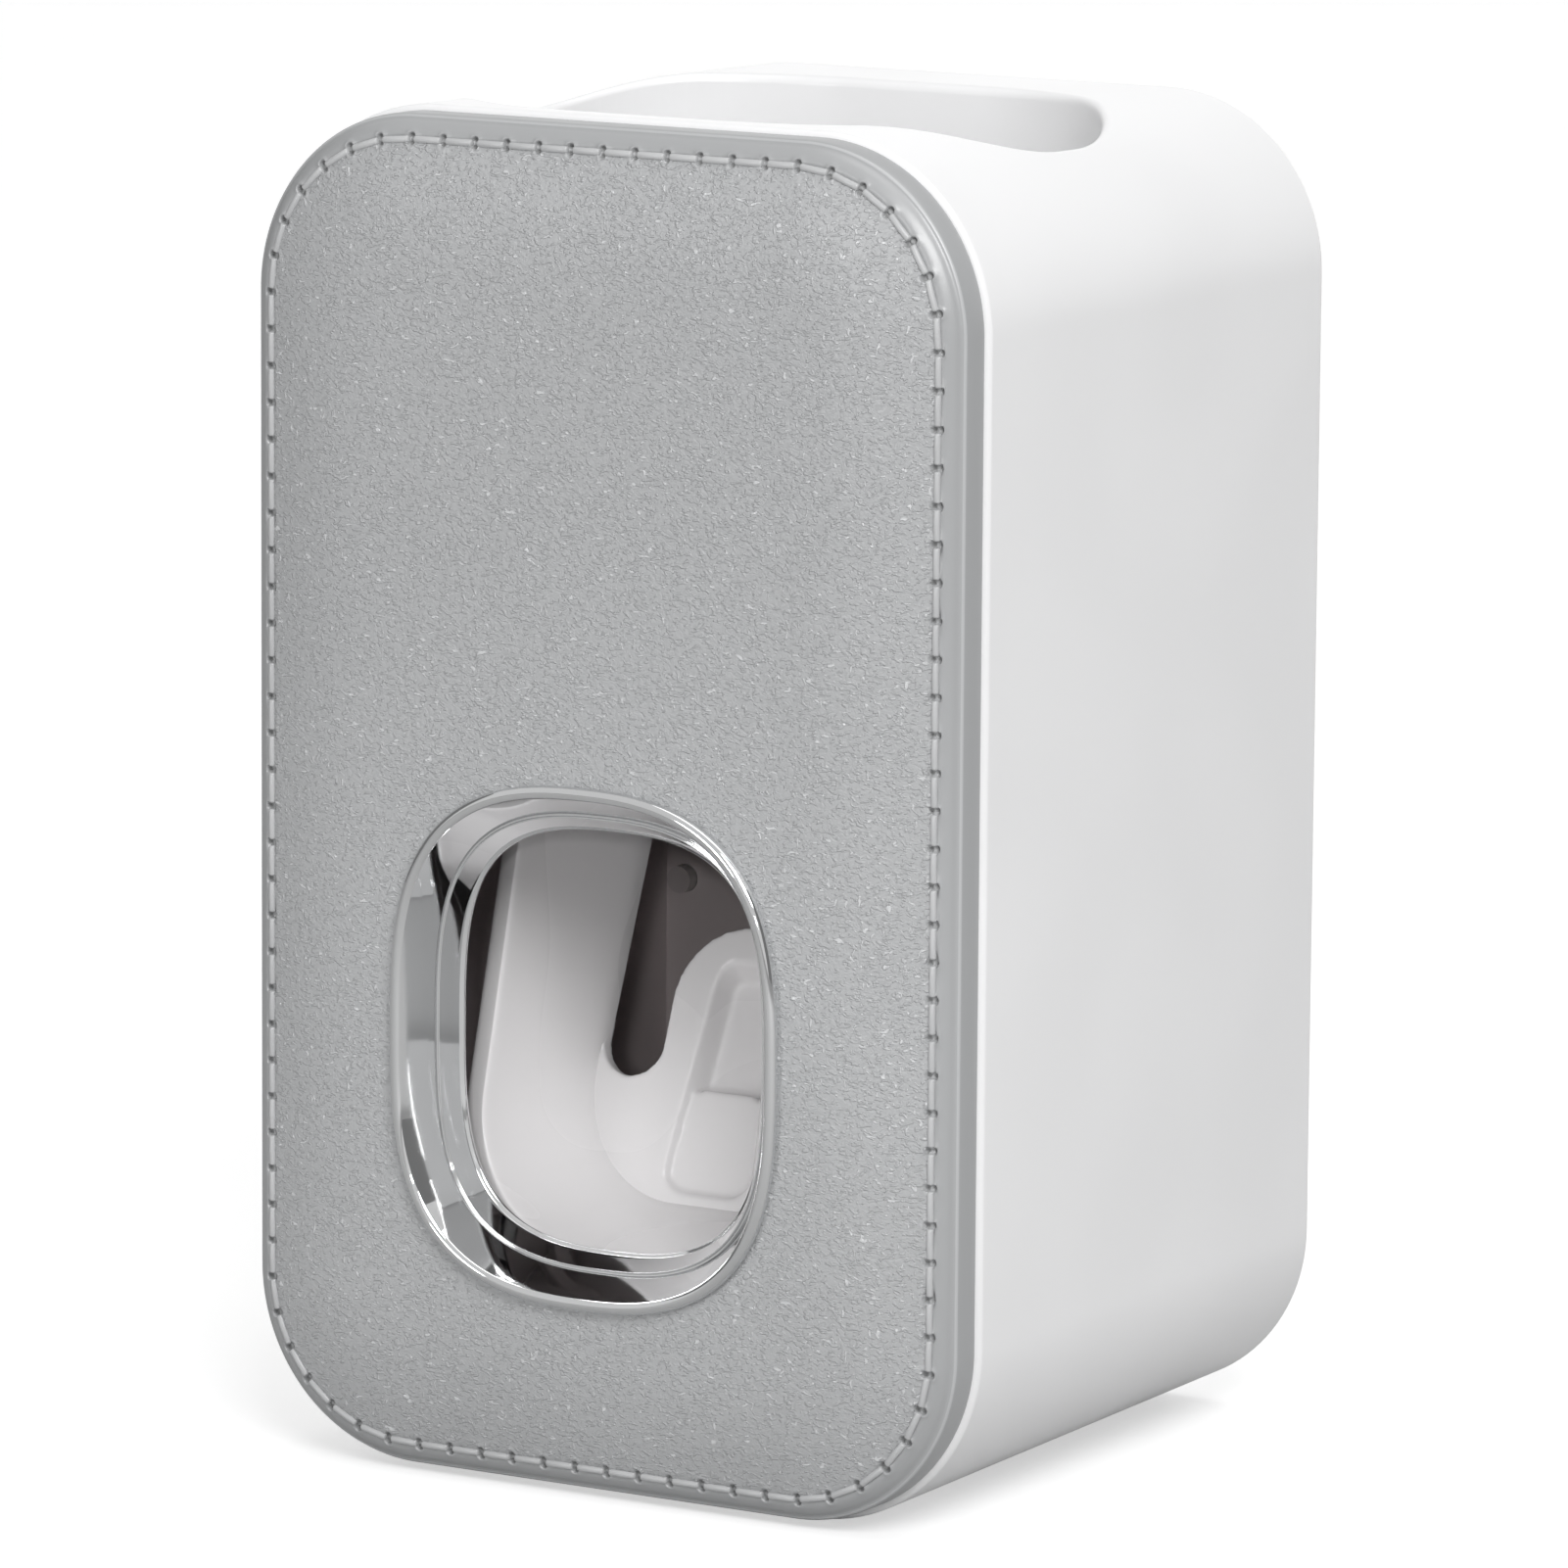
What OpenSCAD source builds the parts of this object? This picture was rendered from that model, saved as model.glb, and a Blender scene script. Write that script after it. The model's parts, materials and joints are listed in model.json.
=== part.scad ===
// Wall-hung toothpaste dispenser: a tube stands in the well, and a brush pushed against the
// scoop lever squeezes a silicone dome that pumps paste out of the nozzle above the brush.
// Millimetres, +Z up, front towards -Y, origin under the middle of the whole part.

/* [Shell] */
// Width of the shell at its front edge
body_w = 72.5; // [70:0.1:80]
// Height of the shell
body_h = 120; // [118:0.5:134]
// Depth of the shell from its front edge to its back
body_d = 60.6; // [59.5:0.1:70]
// Radius of the four long corners at the front edge
corner_r = 16.7; // [14:0.1:17.5]
// Draft: how far each side draws in from the front edge to the back
body_draft = 1.04; // [0:0.02:1.4]
// Thickness of the shell's side walls
shell_wall = 2.2; // [1.8:0.1:2.6]
// Thickness of the shell's back wall
back_wall = 2.5; // [2.2:0.1:3]
// Rounding of the shell's front and back edges
edge_round = 0.6; // [0.3:0.1:1]

/* [Tube well] */
// Width of the mouth that the tube goes into
mouth_w = 56.1; // [50:0.1:58]
// Distance from the shell's front edge to the mouth
mouth_front = 3.6; // [3.4:0.1:4.4]
// Distance from the mouth to the shell's back
mouth_back = 12.2; // [11:0.1:13.4]
// Length of the straight stretch at the mouth's left and right, between its round corners
mouth_flat = 2.6; // [2.2:0.1:10]
// How far the shell's collar reaches down from the top
collar_h = 14; // [12:0.5:18]
// Thickness of the collar and of the well under it
well_wall = 1.6; // [1.2:0.1:1.6]
// Thickness of the well's floor
well_floor = 2; // [1.6:0.1:3]

/* [Front panel] */
// How far the panel's edge lies inside the shell's edge
panel_inset = 0.54; // [0.3:0.02:1]
// Thickness of the panel at its edge
panel_edge = 2.5; // [2:0.1:3.2]
// Distance from the panel's edge to the line of the stitches
stitch_inset = 2.1; // [1.6:0.1:3]
// How far the border rises from the edge to the stitches
border_rise = 1.6; // [1:0.1:2]
// How far the padded middle rises above the stitches
crown_rise = 1.7; // [1:0.1:2.4]
// Thickness of the panel's skin over its hollow back
panel_skin = 2.4; // [1.8:0.1:2.8]
// Length of the snap hooks behind the panel
hook_len = 8; // [7:0.5:11]

/* [Window] */
// Width of the bezel's bead
window_w = 39.4; // [38:0.1:42]
// Height of the bezel's bead
window_h = 45.8; // [44:0.1:48]
// Corner radius of the bezel's bead
window_r = 14.85; // [12:0.05:16]
// Height of the window's centre above the base
window_z = 40; // [39:0.5:42]
// How far the bead stands out of the panel
bead_rise = 1.1; // [0.6:0.1:1.6]

/* [Chassis] */
// How far the chassis stands clear of the shell's side walls
chassis_gap = 3; // [2.6:0.1:4]
// Thickness of the chassis's cheeks and floor
cheek_t = 2; // [1.6:0.1:2.4]
// Thickness of its back plate
chassis_plate = 2.5; // [2:0.1:3]
// Height of the pads that the scoop's rim rests against
stop_h = 4.5; // [3:0.1:5]

/* [Push lever] */
// Width of the scoop between the crests of its rim
scoop_w = 32.6; // [30:0.1:33]
// Corner radius of the scoop's rim
scoop_r = 12.6; // [10:0.1:14]
// Width of the rolled lip outside the crest
lip_w = 2.4; // [2:0.1:2.4]
// Width of the scoop where its back wall begins
throat_w = 25.4; // [23:0.1:26]
// Depth of the scoop at its floor, from rim to back wall
scoop_depth = 12; // [10:0.1:13]
// Lean of the rim at rest, in degrees
rim_tilt = 14.4; // [10:0.1:15]
// Lean of the back wall at rest, in degrees
back_tilt = 20.8; // [18:0.1:22]
// Thickness of the scoop's wall
scoop_wall = 2; // [1.6:0.1:2.4]
// Width of each slot beside the tongue
slot_w = 5.6; // [4.6:0.1:6]
// Height of the tongue above the scoop's floor
tongue_h = 25.8; // [24:0.1:27]
// Height of the lever's pivot above the window's centre
pivot_rise = 33; // [32:0.5:34]
// Distance from the shell's front edge back to the pivot
pivot_y = 24; // [23:0.1:25]
// Radius of the lever's hubs
hub_r = 4.2; // [3.8:0.1:4.6]
// Radius of the steel pivot pins
pin_r = 1.5; // [1.2:0.05:1.8]

/* [Pump] */
// Radius of the silicone dome
dome_r = 8; // [7:0.1:8.5]
// Height of the dome above its flange
dome_h = 8.3; // [7.5:0.1:9]
// Radius of the paste passages
duct_r = 2; // [1.8:0.1:2.4]
// Radius of the bore that holds the tube's neck
neck_r = 5.5; // [4.5:0.1:6]
// Length of that bore
neck_len = 8; // [7:0.5:9]

/* [Wall bracket] */
// Width of the bracket's plate
bracket_w = 40; // [36:0.5:44]
// Height of the bracket's plate
bracket_h = 38; // [36:0.5:40]
// How far the dispenser lifts before it comes off the bracket
lift = 12; // [10.5:0.5:13]
// How far the plate stands out of the shell's back
bracket_proud = 0.5; // [0.3:0.1:1.5]
// Thickness of the adhesive pad
pad_t = 1; // [0.6:0.1:1.5]

/* [Hidden] */
$fn = 64;

// Clearances: parts that only stand clear, parts that slide, a pin that turns, a pressed part
gap = 0.3;
slide_gap = 0.2;
pin_gap = 0.05;
press_gap = 0.02;
eps = 0.01;
// How far an end or a head lies below the face round it
sunk = 0.1;

// Depths of the front, measured out of the shell's front edge
stitch_out = panel_edge + border_rise;
crown_out = stitch_out + crown_rise;
bead_out = crown_out + bead_rise;
panel_w = body_w - 2 * panel_inset;
panel_h = body_h - 2 * panel_inset;
panel_r = corner_r - panel_inset;

// Depths of the back, measured behind the shell's front edge
tab_t = 1.4;
pocket_depth = 3.4;
pocket_y = body_d - pocket_depth;
pocket_wall = 2.2;
plate_back = body_d + bracket_proud;
total_back = plate_back + pad_t;
front_y = (bead_out - total_back) / 2;

// Bracket pocket in the shell's back
tab_w = 2.6;
tab_h = 8;
pocket_w = bracket_w + 2 * (tab_w + 2 * slide_gap);
pocket_top = body_h - 14;
bracket_top = pocket_top - gap;
pocket_bottom = bracket_top - bracket_h - lift - gap;
tab_zs = [bracket_top - tab_h, bracket_top - bracket_h];

// Heights of the mechanism
pivot_z = window_z + pivot_rise;
deck_z = pivot_z + hub_r + 0.8;
deck_t = 2.4;
floor_z = deck_z + deck_t;
mouth_d = body_d - mouth_front - mouth_back;
mouth_r = (mouth_d - mouth_flat) / 2;
mouth_y = mouth_front + mouth_d / 2;

// The scoop: planes of its rim and its back wall, as depths at a height
scoop_floor = window_z - window_h / 2 + 3.5;
rim_y0 = 0.5;
throat_rise = 2.3;
throat_r = 10.3;
throat_y0 = rim_y0 + scoop_depth;
plate_t = 1.8;
wall_top = pivot_z - hub_r - 1;
slot_rise = 13.1;
tongue_half = throat_w / 2 - slot_w;
function rim_y(z) = rim_y0 + (z - scoop_floor) * tan(rim_tilt);
function throat_y(z) = throat_y0 + (z - scoop_floor) * tan(back_tilt);

// Lever hubs and the chassis cheeks beside them
hub_in = throat_w / 2 + 0.2;
hub_out = scoop_w / 2 + lip_w + 2.5;
cheek_out = body_w / 2 - body_draft - shell_wall - chassis_gap;
cheek_in = cheek_out - cheek_t;
chassis_low = body_draft + shell_wall + chassis_gap;
chassis_front = 4;
tray_r = corner_r - shell_wall - chassis_gap;

// Neck sleeve, from its top down to the valve under it
seat_r = neck_r + 3;
seat_top = floor_z + well_floor + 2.2;
seat_base = 1.6;
seat_low = seat_top - neck_len - seat_base;
valve_t = 1.2;

// Passages through the pump
block_top = deck_z - 0.6;
inlet_low = seat_low - valve_t;
gallery_z = inlet_low - 0.8 - duct_r;
duct_wall = 1.2;
drill_r = duct_r - 0.3;
duct_bottom = gallery_z - duct_r - duct_wall;
nozzle_y = 13;
nozzle_wall = 5;

// Dome, with its axis as high as the passages above it allow, and what presses it
dome_wall = 1.4;
flange_r = dome_r + 3.2;
flange_t = 1.2;
ring_t = 2;
ring_screw_r = 0.8;
ring_hole = 3.4;
bar_z = duct_bottom - gap - flange_r;
bar_h = 5;
bar_back = throat_y(bar_z) + 1.5;
pusher_len = 1.5;
pusher_r = 5.5;
dome_tip = bar_back + pusher_len + gap;
dome_base = dome_tip + dome_h;

// Chamber behind the dome, up to the chassis's back plate
pump_front = dome_base + flange_t;
chassis_back = pocket_y - pocket_wall - slide_gap;
pump_back = chassis_back - chassis_plate;
pump_r = flange_r + 0.8;
chamber = 5;
ear_w = 6;
ear_t = 2.5;
ear_zs = [bar_z - 2, bar_z + 6];

// Turns a shape drawn lying down, with its front upwards, to face the front at a height
module facing(z) {
    translate([0, 0, z]) rotate([90, 0, 0]) children();
}

// Sweeps a profile round a rounded rectangle. The profile's x runs outwards from the line
// of the corner centres and its y out of the rectangle's plane.
module round_sweep(w, h, r) {
    cx = w / 2 - r;
    cy = h / 2 - r;
    for (k = [0:3]) {
        a = k % 2 == 0 ? cx : cy;
        b = k % 2 == 0 ? cy : cx;
        rotate([0, 0, 90 * k]) translate([a, b, 0]) {
            rotate_extrude(angle = 90) children();
            rotate([90, 0, 0]) linear_extrude(2 * b) children();
        }
    }
}

// A solid with a rounded-rectangle outline whose sides follow a profile, between two levels
module round_solid(w, h, r, low, high) {
    round_sweep(w, h, r) children();
    translate([r - w / 2, r - h / 2, low]) cube([w - 2 * r, h - 2 * r, high - low]);
}

// A straight rounded-rectangle prism
module round_prism(w, h, r, low, high) {
    round_solid(w, h, r, low, high) translate([0, low]) square([r, high - low]);
}

// A prism with the outline of the tube's mouth, grown by a wall
module mouth_prism(grow, low, high) {
    translate([0, mouth_y, 0])
        round_prism(mouth_w + 2 * grow, mouth_d + 2 * grow, mouth_r + grow, low, high);
}

// A prism with the window's outline, grown by an amount, standing out of the front
module window_prism(grow, low, high) {
    facing(window_z)
        round_prism(window_w + 2 * grow, window_h + 2 * grow, window_r + grow, low, high);
}

// A rod along X, from one x to another
module rod_x(r, from, to) {
    translate([from, 0, 0]) rotate([0, 90, 0]) cylinder(r = r, h = to - from);
}

// A rod along Y, from one y to another
module rod_y(r, from, to) {
    translate([0, from, 0]) rotate([-90, 0, 0]) cylinder(r = r, h = to - from);
}

// Copies a shape to the other side of the middle plane
module both_sides() {
    children();
    mirror([1, 0, 0]) children();
}

// The shell's outer form, inset all round by a wall, with its two end edges rounded
module body_form(inset, front, back) {
    r0 = corner_r - inset;
    slope = body_draft / body_d;
    function r_at(y) = r0 - slope * y;
    e = edge_round;
    facing(body_h / 2)
        round_solid(body_w - 2 * inset, body_h - 2 * inset, r0, -back, -front)
            polygon([
                [0, -front],
                if (inset == 0) each [for (a = [90:-22.5:0])
                    [r_at(front) - e + e * cos(a), -front - e + e * sin(a)]],
                if (inset > 0) [r_at(front), -front],
                if (inset > 0) [r_at(back), -back],
                if (inset == 0) each [for (a = [0:-22.5:-90])
                    [r_at(back) - e + e * cos(a), -back + e + e * sin(a)]],
                [0, -back]
            ]);
}

// How far the bezel laps over the panel's cut-out, and the ring that holds it from behind
window_lap = 0.7;
retainer_w = 2.8;
retainer_t = 1.4;
retainer_back = 0.15;

// Places of the chassis screws, as x and z
screw_x = cheek_out - 4;
screw_zs = [window_z - 22, window_z + 4];
screw_boss_r = 3.4;
screw_r = 1.3;
screw_head_r = 2.6;
screw_head_t = 1.3;
module at_screws() {
    for (z = screw_zs) both_sides() translate([screw_x, 0, z]) children();
}

// Places of the panel's snap hooks
hook_zs = [window_z - 2, body_h - 38];
hook_t = 1.5;
hook_w = 8;
barb = 0.7;
barb_len = 2;
module at_hooks() {
    for (z = hook_zs) both_sides()
        translate([body_w / 2 - shell_wall - gap, 0, z - hook_w / 2]) children();
}

module outer_shell() {
    color("white") {
        difference() {
            union() {
                difference() {
                    body_form(0, 0, body_d);
                    body_form(shell_wall, -1, body_d - back_wall);
                }
                // The wall round the bracket's pocket
                intersection() {
                    translate([-pocket_w / 2 - pocket_wall, pocket_y - pocket_wall,
                            pocket_bottom - pocket_wall])
                        cube([pocket_w + 2 * pocket_wall, pocket_depth + pocket_wall - 1,
                            pocket_top - pocket_bottom + 2 * pocket_wall]);
                    body_form(shell_wall / 2, -1, body_d - back_wall / 2);
                }
                // The collar round the mouth
                intersection() {
                    mouth_prism(well_wall, body_h - collar_h, body_h + 1);
                    body_form(shell_wall / 2, 0.5, body_d - 1);
                }
            }
            mouth_prism(0, body_h - collar_h - 1, body_h + 1);
            difference() {
                translate([-pocket_w / 2, pocket_y, pocket_bottom])
                    cube([pocket_w, pocket_depth + 1, pocket_top - pocket_bottom]);
                // The rails that hold the bracket's tabs
                for (z = tab_zs) both_sides()
                    translate([bracket_w / 2 + 2 * slide_gap, pocket_y + tab_t + 2 * slide_gap,
                            z - 1])
                        cube([tab_w + 1, pocket_depth, tab_h + 2]);
            }
            at_screws() rod_y(screw_r + 0.4, body_d - back_wall - 1, body_d + 1);
            at_screws() rod_y(screw_head_r + slide_gap, body_d - screw_head_t, body_d + 1);
            // The pockets that the panel's hooks snap into
            at_hooks() translate([0, hook_len - barb_len - slide_gap, -slide_gap])
                cube([gap + barb + slide_gap, barb_len + 2 * slide_gap, hook_w + 2 * slide_gap]);
        }
    }
}

// The well under the collar, with a skirt that slips round the collar's lower edge
module tube_well() {
    rim_z = body_h - collar_h - slide_gap;
    color("white") difference() {
        mouth_prism(well_wall, floor_z, rim_z);
        mouth_prism(0, floor_z + well_floor, rim_z + 1);
        translate([0, mouth_y, floor_z - 1]) cylinder(r = seat_r + slide_gap, h = well_floor + 2);
    }
}

// Height of the padded face, from 0 at the stitches to 1 at the corner centres: it swells
// fast at first and is flat over the middle
crown_flat = 0.86;
function pad_out(t) = stitch_out + crown_rise * (1 - pow(1 - min(1, t / crown_flat), 2.4));
module front_panel() {
    border_r = 0.5;
    stitch_r = panel_r - stitch_inset;
    hollow_r = panel_r - 4.2;
    steps = 8;
    skirt_r = corner_r - shell_wall - slide_gap;
    skirt_w = body_w - 2 * (shell_wall + slide_gap);
    skirt_h = body_h - 2 * (shell_wall + slide_gap);
    skirt_t = 1.2;
    skirt_len = 1.4;
    color("silver") {
        difference() {
            facing(body_h / 2) round_solid(panel_w, panel_h, panel_r, 0, crown_out)
                polygon([
                    [0, 0],
                    [panel_r, 0],
                    for (a = [0:30:60])
                        [panel_r - border_r + border_r * cos(a),
                            panel_edge - border_r + border_r * sin(a)],
                    [panel_r - stitch_inset * 0.55, stitch_out - border_rise * 0.35],
                    for (k = [0:steps])
                        [stitch_r * (1 - k / steps), pad_out(k / steps)]
                ]);
            // The hollow behind the skin, which leaves a frame at the edge and round the window
            difference() {
                facing(body_h / 2)
                    round_solid(panel_w, panel_h, panel_r, -1, crown_out - panel_skin)
                        polygon([
                            [0, -1],
                            [hollow_r, -1],
                            for (k = [1:steps])
                                [min(hollow_r, stitch_r * (1 - k / steps)),
                                    pad_out(k / steps) - panel_skin]
                        ]);
                window_prism(retainer_w - window_lap + gap + 1.2, -2, crown_out);
            }
            window_prism(-window_lap, -1, crown_out + 1);
            // The step that the bezel's retainer lies in
            window_prism(retainer_w - window_lap + gap, -1, retainer_t + retainer_back);
        }
        facing(body_h / 2) round_sweep(skirt_w, skirt_h, skirt_r)
            translate([skirt_r - skirt_t, -skirt_len]) square([skirt_t, skirt_len + 0.5]);
        at_hooks() {
            translate([-hook_t, -0.5, 0]) cube([hook_t, hook_len + 0.5, hook_w]);
            translate([-eps, hook_len - barb_len, 0]) cube([barb + eps, barb_len, hook_w]);
        }
    }
}

// The polished ring: a rounded bead, then two funnel walls that step in behind it
module window_bezel() {
    rear = 0.1;
    sleeve = window_r - window_lap - 0.15;
    bead = 0.62;
    // Each funnel wall as its inner edge's distance in from the bead and behind its crest
    wall_1 = [2.66, 3.35];
    groove = [2.9, 3.45];
    wall_2 = [4.1, 5.1];
    rim = [4.5, 5.35];
    rim_t = 0.35;
    color("gainsboro") facing(window_z) round_sweep(window_w, window_h, window_r)
        polygon([
            [sleeve, rear],
            [sleeve, crown_out + eps],
            [window_r, crown_out + eps],
            for (a = [0:30:150])
                [window_r - bead + bead * cos(a), bead_out - bead + bead * sin(a)],
            [window_r - wall_1[0], bead_out - wall_1[1]],
            [window_r - groove[0], bead_out - groove[1]],
            [window_r - wall_2[0], bead_out - wall_2[1]],
            [window_r - rim[0], bead_out - rim[1]],
            [window_r - rim[0], bead_out - rim[1] - rim_t],
            [window_r - wall_2[0] + 0.4, bead_out - rim[1] - 2 * rim_t]
        ]);
}

module bezel_retainer() {
    color("dimgray") facing(window_z) round_sweep(window_w, window_h, window_r)
        translate([window_r - window_lap - 0.1, retainer_back]) square([retainer_w, retainer_t]);
}

// The chassis's outline, round at its lower corners like the shell and open at the top
module tray_form(inset, top, front, back) {
    half = cheek_out - inset;
    r = tray_r - inset;
    bend_z = chassis_low + tray_r;
    facing(bend_z) translate([0, 0, -back]) linear_extrude(back - front) {
        translate([-half, 0]) square([2 * half, top - bend_z]);
        translate([r - half, -r]) square([2 * (half - r), r + eps]);
        for (s = [-1, 1]) translate([s * (half - r), 0]) circle(r = r);
    }
}

module chassis() {
    color("dimgray") difference() {
        union() {
            difference() {
                tray_form(0, deck_z, chassis_front, chassis_back);
                tray_form(cheek_t, deck_z + 1, chassis_front - 1, pump_back);
            }
            at_screws() rod_y(screw_boss_r, pump_back + 1, body_d - back_wall);
            translate([0, pivot_y, pivot_z]) both_sides() rod_x(hub_r, hub_out + gap, cheek_in + 0.5);
            // Ribs that carry the lever's stops
            both_sides() translate([stop_x, stop_y - stop_rib, stop_z])
                cube([cheek_in - stop_x + 0.5, stop_rib, stop_h]);
        }
        at_screws() rod_y(screw_r, pump_back - 1, body_d);
        translate([0, pivot_y, pivot_z]) both_sides() rod_x(pin_r + press_gap, hub_out, cheek_out + 1);
        at_pump_screws() rod_y(pump_screw_r + slide_gap, pump_back - 1, chassis_back + 1);
    }
}

// The deck that closes the chassis at the top and carries the tube well. A rib under each
// side keeps it between the cheeks.
module well_deck() {
    rib_t = 1.2;
    rib_h = 2;
    rib_len = 12;
    color("dimgray") difference() {
        union() {
            translate([-cheek_out, chassis_front, deck_z])
                cube([2 * cheek_out, chassis_back - chassis_front, deck_t]);
            both_sides() translate([cheek_in - slide_gap - rib_t, chassis_front + rib_t, deck_z - rib_h])
                cube([rib_t, rib_len, rib_h + eps]);
        }
        translate([0, mouth_y, deck_z - 1]) cylinder(r = seat_r + slide_gap, h = deck_t + 2);
    }
}

module chassis_screws() {
    length = 7;
    slot_len = 2.6;
    slot_t = 0.7;
    color("lightgray") at_screws() {
        rod_y(screw_r - press_gap, body_d - back_wall - length, body_d - screw_head_t + eps);
        difference() {
            rod_y(screw_head_r, body_d - screw_head_t, body_d - sunk);
            for (a = [0, 90]) translate([0, body_d - sunk, 0]) rotate([0, a, 0])
                cube([slot_len, 2 * slot_t, slot_t], center = true);
        }
    }
}

// Steel pins, pressed into the cheeks from outside, that the lever's hubs turn on
module pivot_pins() {
    head_t = 0.8;
    color("lightgray") translate([0, pivot_y, pivot_z]) both_sides() {
        rod_x(pin_r, hub_in + 1.5, cheek_out);
        rod_x(pin_r + 1, cheek_out, cheek_out + head_t);
    }
}

// Silicone pads on the chassis's ribs that the scoop's rim rests against
stop_z = wall_top - 6;
stop_pad = 1.5;
stop_rib = 2;
stop_x = scoop_w / 2 - 0.2;
stop_y = rim_y(stop_z) - gap - stop_pad;
module lever_stops() {
    color("darkgray") both_sides() translate([stop_x, stop_y, stop_z])
        cube([lip_w + 1.5, stop_pad, stop_h]);
}

// Outline of the scoop seen from the front: down one side, round the floor, up the other
side_steps = 5;
turn_steps = 9;
function scoop_line(half, r, low, top) = [
    for (k = [0:side_steps - 1]) [-half, top + (low + r - top) * k / side_steps],
    for (k = [0:turn_steps]) let (a = 180 + 90 * k / turn_steps)
        [-half + r + r * cos(a), low + r + r * sin(a)],
    for (k = [0:turn_steps]) let (a = 270 + 90 * k / turn_steps)
        [half - r + r * cos(a), low + r + r * sin(a)],
    for (k = [1:side_steps]) [half, low + r + (top - low - r) * k / side_steps]
];
// Section through the scoop's wall: distance out from the inner face, and depth from 0 at
// the rim to 1 at the back. The first points are the crest and the rolled lip.
scoop_section = [
    [0, 0.03], [0.5, 0], [lip_w * 0.6, 0.02], [lip_w * 0.9, 0.08], [lip_w, 0.15],
    [lip_w * 0.95, 0.22], [scoop_wall, 0.27], [scoop_wall, 0.6], [scoop_wall, 1],
    [0, 1], [0, 0.85], [0, 0.7], [0, 0.5], [0, 0.3], [0, 0.12]
];
// Points of the scoop's wall: one ring of section points at each place along the outline
function scoop_ring(p) = let (
    v = p[1],
    draw = pow(v, 1.6),
    half = scoop_w / 2 + (throat_w - scoop_w) / 2 * draw + p[0],
    r = scoop_r + (throat_r - scoop_r) * draw + p[0],
    low = scoop_floor + throat_rise * draw - p[0]
) [for (q = scoop_line(half, r, low, wall_top + 3)) [
    q[0],
    rim_y(q[1]) + (throat_y(q[1]) + plate_t + 0.4 - rim_y(q[1])) * v,
    q[1]
]];
module scoop_walls() {
    rings = [for (p = scoop_section) scoop_ring(p)];
    n = len(rings);
    m = len(rings[0]);
    points = [for (k = [0:m - 1]) each [for (ring = rings) ring[k]]];
    sides = [for (k = [0:m - 2]) each [for (i = [0:n - 1]) each [
        [k * n + i, (k + 1) * n + i, (k + 1) * n + (i + 1) % n],
        [k * n + i, (k + 1) * n + (i + 1) % n, k * n + (i + 1) % n]
    ]]];
    ends = [[for (i = [0:n - 1]) i], [for (i = [n - 1:-1:0]) (m - 1) * n + i]];
    polyhedron(points = points, faces = concat(sides, ends), convexity = 6);
}

// Lays a drawing of x and height on the scoop's leaning back wall and gives it a thickness
module on_back_wall(from, to) {
    translate([0, throat_y0, scoop_floor]) rotate([90 - back_tilt, 0, 0])
        translate([0, 0, -to]) linear_extrude(to - from) children();
}

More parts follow.
